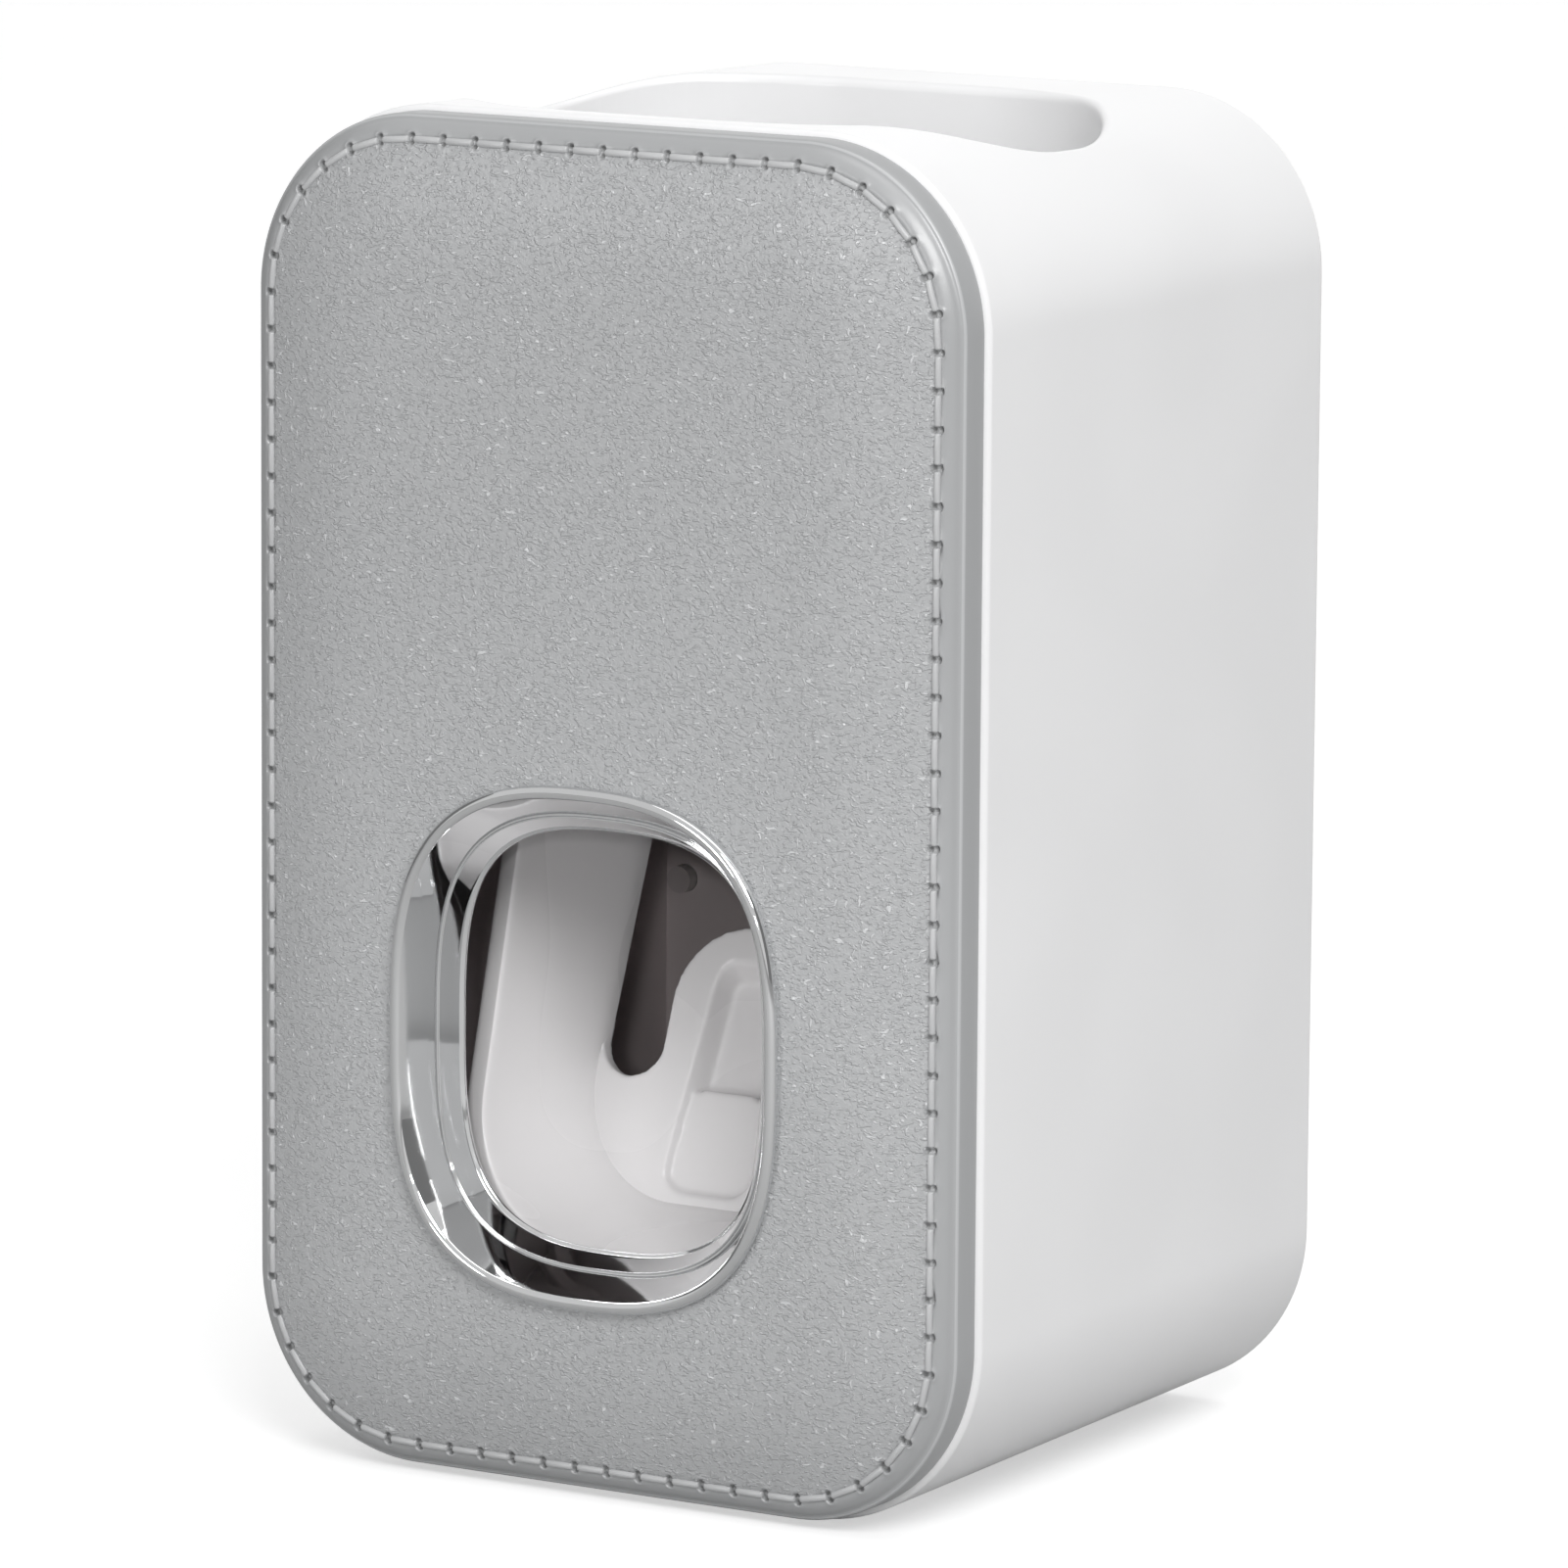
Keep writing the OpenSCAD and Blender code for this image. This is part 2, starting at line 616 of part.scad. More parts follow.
module push_lever() {
    lean = 1 / cos(back_tilt);
    slot_r = slot_w / 2;
    slot_x = throat_w / 2 - slot_r;
    slot_low = slot_rise * lean;
    tongue_top = tongue_h * lean;
    throat_low = throat_rise * lean;
    recess_half = tongue_half - 2.5;
    recess_top = tongue_top - 3;
    recess_low = throat_low + 0.6;
    recess_depth = 2.2;
    tongue_t = 4.2;
    plate_lap = 0.8;
    arm_t = scoop_wall + 1.4;
    arm_front = rim_y(wall_top) + 4.5;
    bar_t = 3;
    color("whitesmoke") difference() {
        union() {
            difference() {
                scoop_walls();
                translate([-body_w / 2, 0, wall_top]) cube([body_w, body_d, 10]);
            }
            // The back wall below the slots, and the tongue between them
            on_back_wall(0, plate_t) difference() {
                half = throat_w / 2 + plate_lap;
                bend = throat_r + plate_lap;
                low = throat_low - plate_lap;
                plate_top = slot_low + slot_r + 1;
                union() {
                    translate([-half, low + bend]) square([2 * half, plate_top - low - bend]);
                    translate([-half + bend, low]) square([2 * (half - bend), bend + eps]);
                    intersection() {
                        for (s = [-1, 1]) translate([s * (half - bend), low + bend]) circle(r = bend);
                        translate([-half, low]) square([2 * half, plate_top - low]);
                    }
                }
                for (s = [-1, 1]) translate([s * slot_x, slot_low + slot_r]) {
                    circle(r = slot_r);
                    translate([-slot_r, 0]) square([slot_w, slot_w]);
                }
            }
            on_back_wall(0, tongue_t) {
                translate([-tongue_half, slot_low + 1])
                    square([2 * tongue_half, tongue_top - tongue_half - slot_low - 1]);
                translate([0, tongue_top - tongue_half]) circle(r = tongue_half);
                translate([-recess_half - 1.2, throat_low + 1.4])
                    square([2 * recess_half + 2.4, slot_low + 1 - throat_low]);
            }
            // Arms up to the hubs, and the bar that works the pump
            both_sides() {
                translate([hub_in, 0, 0]) rotate([90, 0, 90]) linear_extrude(arm_t)
                    polygon([
                        [arm_front, wall_top - 6], [throat_y(wall_top - 6), wall_top - 6],
                        [throat_y(wall_top) - 0.5, wall_top - 0.5],
                        [pivot_y + 0.8 * hub_r, pivot_z], [pivot_y - 0.8 * hub_r, pivot_z],
                        [arm_front, wall_top - 0.5]
                    ]);
                translate([0, pivot_y, pivot_z]) rod_x(hub_r, hub_in, hub_out);
            }
            translate([-throat_w / 2 - plate_lap, bar_back - bar_t, bar_z - bar_h / 2])
                cube([throat_w + 2 * plate_lap, bar_t, bar_h]);
            translate([0, 0, bar_z]) rod_y(pusher_r, bar_back - 0.5, bar_back + pusher_len);
        }
        translate([0, pivot_y, pivot_z]) both_sides() rod_x(pin_r + pin_gap, hub_in + 1, hub_out + 1);
        // The stepped recess in the tongue
        hull() {
            on_back_wall(-1, eps) recess_outline(recess_half, recess_top, recess_low);
            on_back_wall(recess_depth, recess_depth + eps)
                recess_outline(recess_half - 1, recess_top - 1, recess_low + 1);
        }
    }
    // The block at the foot of the recess that meets the bristles
    color("whitesmoke") on_back_wall(0.9, recess_depth + 1) translate([-recess_half + 0.5, recess_low + 0.5])
        square([2 * recess_half - 1, slot_low - recess_low - 1.8]);
}
module recess_outline(half, top, low) {
    $fn = 32;
    translate([-half, low]) square([2 * half, top - half - low]);
    translate([0, top - half]) circle(r = half);
}

// Silicone sleeve that grips the neck of the tube and seals it on the pump
module neck_seat() {
    color("lightgray") translate([0, mouth_y, 0]) difference() {
        union() {
            translate([0, 0, seat_low]) cylinder(r = seat_r, h = seat_top - seat_low);
            translate([0, 0, floor_z + well_floor + 0.05]) cylinder(r = seat_r + 3, h = 1.1);
        }
        translate([0, 0, seat_top - neck_len]) cylinder(r = neck_r, h = neck_len + 1);
        translate([0, 0, seat_low - 1]) cylinder(r = duct_r, h = seat_top);
        translate([0, 0, seat_top - 1]) cylinder(r1 = neck_r, r2 = neck_r + 1, h = 1 + eps);
    }
}

module neck_collar() {
    low = floor_z + well_floor + 1.2;
    color("white") translate([0, mouth_y, low]) rotate_extrude()
        polygon([
            [seat_r + slide_gap, 0], [seat_r + 5, 0], [seat_r + 4.4, 1.6],
            [seat_r + 3.6, 2], [seat_r + slide_gap, 2]
        ]);
}

// Places of the screws that hold the pump to the chassis
pump_screw_r = 1.3;
module at_pump_screws() {
    for (z = ear_zs) both_sides() translate([pump_r + ear_w / 2, 0, z]) children();
}

// Places of the screws round the dome's ring
module at_ring_screws() {
    for (a = [45:90:315]) translate([0, 0, bar_z]) rotate([0, a, 0])
        translate([flange_r - 1.4, 0, 0]) children();
}

module pump_body() {
    duct_half = 9;
    color("dimgray") difference() {
        union() {
            // The gallery from the nozzle to the back, under the tube's neck
            translate([-duct_half, nozzle_y - nozzle_wall, duct_bottom])
                cube([2 * duct_half, pump_back - nozzle_y + nozzle_wall, block_top - duct_bottom]);
            // The chamber behind the dome, its neck and its two pairs of ears
            translate([0, 0, bar_z]) rod_y(pump_r, pump_front, pump_back);
            translate([-duct_half, pump_front, bar_z])
                cube([2 * duct_half, pump_back - pump_front, duct_bottom + 1 - bar_z]);
            for (z = ear_zs) translate([-pump_r - ear_w, pump_back - ear_t, z - ear_w / 2])
                cube([2 * (pump_r + ear_w), ear_t, ear_w]);
        }
        translate([0, mouth_y, inlet_low])
            cylinder(r = seat_r + press_gap, h = block_top - inlet_low + 1);
        translate([0, mouth_y, gallery_z]) cylinder(r = drill_r, h = inlet_low - gallery_z + 1);
        translate([0, 0, gallery_z]) rod_y(duct_r, nozzle_y - duct_r, pump_back + 1);
        translate([0, nozzle_y, duct_bottom - 1])
            cylinder(r = drill_r, h = gallery_z - duct_bottom + 1);
        translate([0, pump_front + chamber / 2, bar_z])
            cylinder(r = drill_r, h = gallery_z - bar_z);
        translate([0, 0, bar_z]) rod_y(dome_r - dome_wall, pump_front - 1, pump_front + chamber);
        at_pump_screws() rod_y(pump_screw_r, pump_back - ear_t - 1, pump_back + 1);
        at_ring_screws() rod_y(ring_screw_r, pump_front - 1, pump_front + ring_hole);
    }
}

module pump_screws() {
    head_r = 2.4;
    color("lightgray") at_pump_screws() {
        rod_y(pump_screw_r - press_gap, pump_back - ear_t, chassis_back - sunk);
        rod_y(head_r, pump_back - ear_t - screw_head_t, pump_back - ear_t);
    }
}

// Umbrella valve under the tube's neck: a disc with a stem that hangs in the inlet
module inlet_valve() {
    stem = 2;
    color("tomato") translate([0, mouth_y, inlet_low + eps]) {
        cylinder(r = duct_r + 2, h = valve_t - 2 * eps);
        translate([0, 0, -stem]) cylinder(r = duct_r - 1, h = stem + eps);
    }
}

module gallery_plug() {
    plug_len = 4;
    color("gray") translate([0, 0, gallery_z])
        rod_y(duct_r - press_gap, pump_back - plug_len, pump_back - sunk);
}

// The dome that the lever presses: a hollow bulge on a flange, drawn round the pump's axis
module pump_dome() {
    inner_r = dome_r - dome_wall;
    inner_h = dome_h - dome_wall;
    color("lightgray") difference() {
        translate([0, dome_base, bar_z]) rotate([90, 0, 0]) rotate_extrude()
            polygon([
                for (a = [90:-15:0]) [dome_r * cos(a), dome_h * sin(a)],
                [flange_r, 0], [flange_r, -flange_t], [inner_r, -flange_t],
                for (a = [0:15:90]) [inner_r * cos(a), inner_h * sin(a)]
            ]);
        at_ring_screws() rod_y(ring_screw_r + slide_gap, dome_base - 1, pump_front + 1);
    }
}

module dome_ring() {
    color("white") difference() {
        translate([0, 0, bar_z]) difference() {
            rod_y(flange_r, dome_base - ring_t, dome_base);
            rod_y(dome_r + gap, dome_base - ring_t - 1, dome_base + 1);
        }
        at_ring_screws() rod_y(ring_screw_r + slide_gap, dome_base - ring_t - 1, dome_base + 1);
    }
}

module dome_ring_screws() {
    color("lightgray") at_ring_screws() {
        rod_y(ring_screw_r - press_gap, dome_base - ring_t, pump_front + ring_hole - 0.4);
        rod_y(1.3, dome_base - ring_t - 0.9, dome_base - ring_t);
    }
}

// Silicone duckbill that lets the paste out above the brush, and the nut that holds it
nozzle_r = 3.4;
nozzle_flange = 1.2;
nozzle_taper = 4.4;
nozzle_len = 5.6;
nozzle_tip_r = 2.4;
nut_wall = 1.4;
nut_h = 3.4;
module outlet_nozzle() {
    slit = 0.3;
    color("lightgray") translate([0, nozzle_y, duct_bottom]) rotate([180, 0, 0]) difference() {
        rotate_extrude() polygon([
            [0, 0], [nozzle_r + nozzle_flange, 0], [nozzle_r + nozzle_flange, nozzle_flange],
            [nozzle_r, nozzle_flange], [nozzle_r - slide_gap, nozzle_taper],
            [nozzle_tip_r, nozzle_len], [0, nozzle_len]
        ]);
        translate([0, 0, -1]) cylinder(r = drill_r - gap, h = nozzle_taper + 1.6);
        cube([2 * drill_r - 2 * slide_gap, slit, 3 * nozzle_len], center = true);
    }
}

module nozzle_nut() {
    bore_r = nozzle_r + slide_gap;
    seat = nozzle_r + nozzle_flange + pin_gap;
    color("white") translate([0, nozzle_y, duct_bottom - nut_h]) difference() {
        cylinder(r = seat + nut_wall, h = nut_h);
        translate([0, 0, -1]) cylinder(r = bore_r, h = nut_h + 2);
        translate([0, 0, nut_h - nozzle_flange - pin_gap]) cylinder(r = seat, h = nozzle_flange + 1);
    }
}

module wall_bracket() {
    color("white") {
        translate([-bracket_w / 2, pocket_y + slide_gap, bracket_top - bracket_h])
            cube([bracket_w, plate_back - pocket_y - slide_gap, bracket_h]);
        for (z = tab_zs) both_sides() translate([bracket_w / 2 - 1, pocket_y + slide_gap, z])
            cube([tab_w + 1, tab_t, tab_h]);
    }
}

module adhesive_pad() {
    color("gray") translate([-bracket_w / 2 + 2, plate_back, bracket_top - bracket_h + 3])
        cube([bracket_w - 4, pad_t, bracket_h - 6]);
}

module in_place() {
    translate([0, front_y, 0]) children();
}
in_place() outer_shell();
in_place() tube_well();
in_place() front_panel();
in_place() window_bezel();
in_place() bezel_retainer();
in_place() chassis();
in_place() well_deck();
in_place() chassis_screws();
in_place() pivot_pins();
in_place() lever_stops();
in_place() push_lever();
in_place() neck_seat();
in_place() neck_collar();
in_place() pump_body();
in_place() pump_screws();
in_place() inlet_valve();
in_place() gallery_plug();
in_place() pump_dome();
in_place() dome_ring();
in_place() dome_ring_screws();
in_place() outlet_nozzle();
in_place() nozzle_nut();
in_place() wall_bracket();
in_place() adhesive_pad();
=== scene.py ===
# %% [markdown]
# A wall-hung toothpaste dispenser. Its construction is loaded as a fixed frame: every piece
# is already there at its real size and place. This lesson dresses that frame. Where a piece
# already has the right shape it only gets a finish. Where the eye needs more, such as the
# stitched front, the soft rim of the mouth, the bright bezel and the moulded lever, a new
# piece is modelled over it and stands in its place.

# %% Load the frame
import json
import math
import bpy
from mathutils import Matrix, Vector


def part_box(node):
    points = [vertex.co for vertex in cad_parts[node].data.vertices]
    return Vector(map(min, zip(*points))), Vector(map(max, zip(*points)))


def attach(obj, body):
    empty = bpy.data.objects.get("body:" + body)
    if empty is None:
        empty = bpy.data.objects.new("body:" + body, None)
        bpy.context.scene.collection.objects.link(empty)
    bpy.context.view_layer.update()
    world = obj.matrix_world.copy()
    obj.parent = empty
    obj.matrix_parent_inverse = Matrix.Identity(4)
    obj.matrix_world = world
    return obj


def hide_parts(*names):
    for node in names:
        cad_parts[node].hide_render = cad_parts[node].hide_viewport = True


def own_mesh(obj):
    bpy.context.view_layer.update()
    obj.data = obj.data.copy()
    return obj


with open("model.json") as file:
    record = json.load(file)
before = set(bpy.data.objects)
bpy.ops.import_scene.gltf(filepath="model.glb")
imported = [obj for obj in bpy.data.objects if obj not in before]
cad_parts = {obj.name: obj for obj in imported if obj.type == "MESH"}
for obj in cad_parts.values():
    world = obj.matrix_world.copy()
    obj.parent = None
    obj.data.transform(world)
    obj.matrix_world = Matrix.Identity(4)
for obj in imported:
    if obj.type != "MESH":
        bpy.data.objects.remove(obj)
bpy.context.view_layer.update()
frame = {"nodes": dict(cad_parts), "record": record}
MM = 0.001
TINY = 0.01 * MM
shell_low, shell_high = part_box("outer_shell")
FRONT = shell_low.y
print("Nodes in the frame:", len(frame["nodes"]))

# %% [markdown]
# The camera comes first, because everything after it is judged through it. The photograph is
# a long-lens product shot: the camera stands a little above the middle of the dispenser and
# to its right. Its place is found from the direction it looks along, the point it looks at
# and its distance. A very small roll levels the picture as the photographer had it.

# %% Place the camera
AZIMUTH = math.radians(31.315)
ELEVATION = math.radians(9.433)
ROLL = math.radians(0.399)
AIM = Vector((16.36 * MM, FRONT, 63.9 * MM))
DISTANCE = 879.5 * MM

back = Vector((math.sin(AZIMUTH) * math.cos(ELEVATION),
               -math.cos(AZIMUTH) * math.cos(ELEVATION), math.sin(ELEVATION)))
level = (-back).cross(Vector((0, 0, 1))).normalized()
rise = level.cross(-back)
right = level * math.cos(ROLL) + rise * math.sin(ROLL)
up = rise * math.cos(ROLL) - level * math.sin(ROLL)
turn = Matrix((right, up, back)).transposed().to_4x4()
camera_data = bpy.data.cameras.new("camera")
camera_data.sensor_width = 36
camera_data.lens = 236.67
camera_data.clip_start = 0.01
camera = bpy.data.objects.new("camera", camera_data)
camera.matrix_world = Matrix.Translation(AIM + back * DISTANCE) @ turn
bpy.context.scene.collection.objects.link(camera)
bpy.context.scene.camera = camera

# %% [markdown]
# The studio is a pale floor under a white surround, which lights the object softly from all
# sides. One large soft light stands high on the right and gives the padded front and the
# shell's shoulder their broad sheen. Three weak, very soft suns fill from above, from behind
# and from the front left. A narrow light beside the camera reaches into the recess, which
# would otherwise be black.

# %% Place the lights
def add_lamp(name, kind, place, way, **settings):
    """A lamp at a place that shines along a direction."""
    data = bpy.data.lights.new(name, kind)
    for key, value in settings.items():
        setattr(data, key, value)
    lamp = bpy.data.objects.new(name, data)
    lamp.location = place
    lamp.rotation_euler = way.to_track_quat("-Z", "Y").to_euler()
    bpy.context.scene.collection.objects.link(lamp)


KEY_PLACE = Vector((0.4, -0.44, 0.48))
KEY_TARGET = Vector((0, 0, 0.07))
window_middle = Vector((0, FRONT, 41 * MM))
beside_camera = window_middle + (back + Vector((-0.04, 0, 0.04))) * 0.85
add_lamp("key_light", "AREA", KEY_PLACE, KEY_TARGET - KEY_PLACE, size=0.3, energy=3.3)
for sun_name, seen_at, strength, spread in (("top_light", (0.15, 0.1, 1.0), 0.85, 50),
                                            ("back_fill", (-0.3, 0.9, 0.05), 0.5, 60),
                                            ("sheen_light", (-0.27, -0.94, 0.16), 0.45, 14)):
    add_lamp(sun_name, "SUN", (0, 0, 0), -Vector(seen_at), energy=strength, angle=math.radians(spread))
add_lamp("recess_light", "SPOT", beside_camera, window_middle - beside_camera, energy=9.0,
         spot_size=math.radians(3.8), spot_blend=1.0, shadow_soft_size=0.03)
print("Lights:", len(bpy.data.lights))

# %% [markdown]
# A mirror shows what stands round it. In an all-white room plated metal looks like white
# paint, so photographers stand tall dark cards between the lights. Here the cards are
# painted into the surround: glossy rays see bright strips with dark gaps between them, and
# every other ray sees the plain white surround. A camera ray that misses the object sees
# pure white, as on the photograph's bare ground.

# %% Paint the surround
AMBIENT = 0.34
STRIP_EDGE = 0.78
STRIP_TOP = 0.62
GAP_GLOW = 0.2
STRIP_GLOW = 0.5


def calc(tree, operation, first, second=None, third=None):
    """A Math node whose inputs are sockets or plain numbers."""
    node = tree.nodes.new("ShaderNodeMath")
    node.operation = operation
    for socket, value in zip(node.inputs, (first, second, third)):
        if isinstance(value, (int, float)):
            socket.default_value = value
        elif value is not None:
            tree.links.new(value, socket)
    return node.outputs[0]


def paint_surround(world):
    world.use_nodes = True
    tree = world.node_tree
    tree.nodes.clear()
    split = tree.nodes.new("ShaderNodeSeparateXYZ")
    tree.links.new(tree.nodes.new("ShaderNodeTexCoord").outputs["Generated"], split.inputs[0])
    open_side = calc(tree, "LESS_THAN", calc(tree, "ABSOLUTE", split.outputs["X"], 0), STRIP_EDGE)
    over = calc(tree, "GREATER_THAN", split.outputs["Z"], STRIP_TOP)
    strips = calc(tree, "MAXIMUM", open_side, over)
    glow = calc(tree, "ADD", calc(tree, "MULTIPLY", strips, STRIP_GLOW), GAP_GLOW)
    seen = tree.nodes.new("ShaderNodeLightPath")
    mirror = calc(tree, "MULTIPLY", seen.outputs["Is Glossy Ray"], calc(tree, "SUBTRACT", glow, AMBIENT))
    soft, plain = [tree.nodes.new("ShaderNodeBackground") for _ in range(2)]
    for ground in (soft, plain):
        ground.inputs["Color"].default_value = (1, 1, 1, 1)
    tree.links.new(calc(tree, "ADD", mirror, AMBIENT), soft.inputs["Strength"])
    choice = tree.nodes.new("ShaderNodeMixShader")
    tree.links.new(seen.outputs["Is Camera Ray"], choice.inputs["Fac"])
    tree.links.new(soft.outputs[0], choice.inputs[1])
    tree.links.new(plain.outputs[0], choice.inputs[2])
    tree.links.new(choice.outputs[0], tree.nodes.new("ShaderNodeOutputWorld").inputs["Surface"])


bpy.context.scene.world = bpy.data.worlds.new("surround")
paint_surround(bpy.context.scene.world)
bpy.context.scene.view_settings.view_transform = "Standard"
print("Surround nodes:", len(bpy.context.scene.world.node_tree.nodes))

# %% [markdown]
# All later cells pick faces and edges in code and then work on them in edit mode. These
# small helpers clear the selection, open a mesh for editing and choose elements by a test
# on their place. Everything is deselected first, because an operator acts on all that is
# selected.

# %% Helpers for selecting
def deselect():
    """Leaves edit mode and clears the selection."""
    if bpy.context.object and bpy.context.object.mode != "OBJECT":
        bpy.ops.object.mode_set(mode="OBJECT")
    bpy.ops.object.select_all(action="DESELECT")


def focus(piece):
    """Selects one piece alone and makes it active."""
    deselect()
    piece.select_set(True)
    bpy.context.view_layer.objects.active = piece


def choose(piece, kind, test):
    """Selects the vertices, edges or faces that pass a test and opens edit mode on them."""
    focus(piece)
    mesh = piece.data
    for group in (mesh.vertices, mesh.edges, mesh.polygons):
        group.foreach_set("select", [False] * len(group))
    group = {"VERT": mesh.vertices, "EDGE": mesh.edges, "FACE": mesh.polygons}[kind]
    bpy.ops.object.mode_set(mode="EDIT")
    bpy.ops.mesh.select_mode(type=kind)
    bpy.ops.object.mode_set(mode="OBJECT")
    chosen = 0
    for element in group:
        if test(element):
            element.select = True
            chosen += 1
            if kind == "EDGE":
                for index in element.vertices:
                    mesh.vertices[index].select = True
    bpy.ops.object.mode_set(mode="EDIT")
    return chosen


def finish_edit():
    bpy.ops.object.mode_set(mode="OBJECT")


def edge_ends(piece, edge):
    return [piece.data.vertices[i].co for i in edge.vertices]


def border_edges(piece):
    """Keys of the edges that belong to one face only."""
    count = {}
    for face in piece.data.polygons:
        for key in face.edge_keys:
            count[key] = count.get(key, 0) + 1
    return {key for key, uses in count.items() if uses == 1}


# %% [markdown]
# The next helpers change a mesh. One extrudes what is chosen and sends each new vertex
# where a rule says, so a form can follow a curve. The others apply a modifier, cut one
# piece with another, and turn all faces outwards.

# %% Helpers for editing
MERGE = 0.002 * MM


def extrude_chosen(rule):
    """Extrudes what is selected in edit mode and sends each new vertex where a rule says."""
    piece = bpy.context.object
    bpy.ops.mesh.extrude_region_move()
    bpy.ops.object.mode_set(mode="OBJECT")
    for vertex in piece.data.vertices:
        if vertex.select:
            vertex.co = rule(vertex.co.copy())
    bpy.ops.object.mode_set(mode="EDIT")


def apply_modifier(piece, kind, **settings):
    """Adds a modifier with its settings and applies it at once."""
    focus(piece)
    modifier = piece.modifiers.new(kind.lower(), kind)
    for key, value in settings.items():
        setattr(modifier, key, value)
    bpy.ops.object.modifier_apply(modifier=modifier.name)


def cut_with(piece, cutter, operation="DIFFERENCE"):
    """Cuts one piece with another, or unites them, and removes the other."""
    apply_modifier(piece, "BOOLEAN", operation=operation, object=cutter, solver="EXACT")
    bpy.data.objects.remove(cutter)


def face_outwards(piece):
    """Merges doubles and turns every face of a closed mesh to the outside."""
    focus(piece)
    bpy.ops.object.mode_set(mode="EDIT")
    bpy.ops.mesh.select_all(action="SELECT")
    bpy.ops.mesh.remove_doubles(threshold=MERGE)
    bpy.ops.mesh.normals_make_consistent(inside=False)
    finish_edit()

# %% [markdown]
# More helpers finish a mesh. They give a flat face a thickness, smooth the shading but keep
# sharp edges crisp, join pieces that are one moulding, copy a piece together with its mesh,
# and settle its place in the mesh.

# %% Helpers for finishing a mesh
def thicken(piece, rule):
    """Makes a flat face a closed body: every vertex of its far side goes where a rule says."""
    choose(piece, "FACE", lambda f: True)
    extrude_chosen(rule)
    finish_edit()
    face_outwards(piece)


def soften(piece, angle=32, weighted=True):
    """Smooth shading that stays crisp at edges sharper than an angle."""
    focus(piece)
    bpy.ops.object.shade_smooth_by_angle(angle=math.radians(angle))
    if weighted:
        apply_modifier(piece, "WEIGHTED_NORMAL", keep_sharp=True)


def join(pieces, name):
    deselect()
    for piece in pieces:
        piece.select_set(True)
    bpy.context.view_layer.objects.active = pieces[0]
    bpy.ops.object.join()
    whole = bpy.context.object
    whole.name = name
    whole.data.name = name
    return whole


def own_copy(piece):
    """A copy of a piece with a mesh of its own."""
    copy = piece.copy()
    copy.data = piece.data.copy()
    bpy.context.scene.collection.objects.link(copy)
    return copy


def settle():
    """Puts the active object's place, turn and size into its mesh."""
    bpy.ops.object.transform_apply(location=True, rotation=True, scale=True)


# %% [markdown]
# Straight cuts, rails, bars and hubs all start from a box between two corners or from a
# round rod between two points. Their edges can be bevelled at once.

# %% Boxes and rods
def box_piece(name, low, high, bevel=0.0, segments=3):
    """A closed box between two corners, its edges rounded."""
    deselect()
    low, high = Vector(low), Vector(high)
    bpy.ops.mesh.primitive_cube_add(size=1, location=(low + high) / 2)
    piece = bpy.context.object
    piece.name = name
    piece.scale = high - low
    settle()
    if bevel:
        apply_modifier(piece, "BEVEL", width=bevel, segments=segments, limit_method="ANGLE")
    return piece


def rod_piece(name, start, end, radius, sides=48, bevel=0.0):
    """A closed round rod between two points."""
    deselect()
    start, end = Vector(start), Vector(end)
    bpy.ops.mesh.primitive_cylinder_add(vertices=sides, radius=radius, depth=(end - start).length,
                                        location=(start + end) / 2)
    piece = bpy.context.object
    piece.name = name
    piece.rotation_euler = (end - start).to_track_quat("Z", "Y").to_euler()
    settle()
    if bevel:
        apply_modifier(piece, "BEVEL", width=bevel, segments=3, limit_method="ANGLE")
    return piece


# %% [markdown]
# Almost every outline on this dispenser is a rounded rectangle: the shell, the panel, the
# stitches, the mouth and the bezel. So one helper draws it as a face whose corners are
# bevelled, and another tells which way is inwards at any point of it. The sides can be cut
# into short pieces, which the stitched border needs later.

# %% Rounded rectangles
def rounded_plate(name, centre, half, radius, steps, cuts=(0, 0), facing="FRONT"):
    """A flat rounded rectangle. It faces the front, or upwards."""
    deselect()
    lean = math.pi / 2 if facing == "FRONT" else 0
    bpy.ops.mesh.primitive_plane_add(size=2, location=centre, rotation=(lean, 0, 0))
    piece = bpy.context.object
    piece.name = name
    piece.scale = (half[0], half[1], 1)
    settle()
    choose(piece, "VERT", lambda v: True)
    bpy.ops.mesh.bevel(offset=radius, segments=steps, profile=0.5, affect="VERTICES")
    finish_edit()
    up_axis = 2 if facing == "FRONT" else 1
    for axis, count in ((0, cuts[0]), (up_axis, cuts[1])):
        if count > 1:
            longest = 2 * (half[0 if axis == 0 else 1] - radius)
            choose(piece, "EDGE", lambda e: abs(
                abs(edge_ends(piece, e)[0][axis] - edge_ends(piece, e)[1][axis]) - longest) < TINY)
            bpy.ops.mesh.subdivide(number_cuts=count - 1)
            finish_edit()
    return piece


def inwards(place, centre, half, radius, up_axis=2):
    """Direction towards the core of a rounded rectangle, and the nearest point of the core."""
    core = place.copy()
    for axis, reach in ((0, half[0] - radius), (up_axis, half[1] - radius)):
        core[axis] = min(max(place[axis], centre[axis] - reach), centre[axis] + reach)
    way = core - place
    way[3 - up_axis] = 0
    return way.normalized(), core


# %% [markdown]
# The outer shell is one white moulding. Its sides draw in a little towards the back, its
# front and back edges are finely rounded, and the mouth on top is cut through its curved
# shoulders. A boolean alone would leave that rim sharp, so the rim is made by hand: the cut
# is made slightly too wide, its edge is extruded in small steps that turn from the skin's
# own slope to straight down, and the last step is bridged to the inner skin.

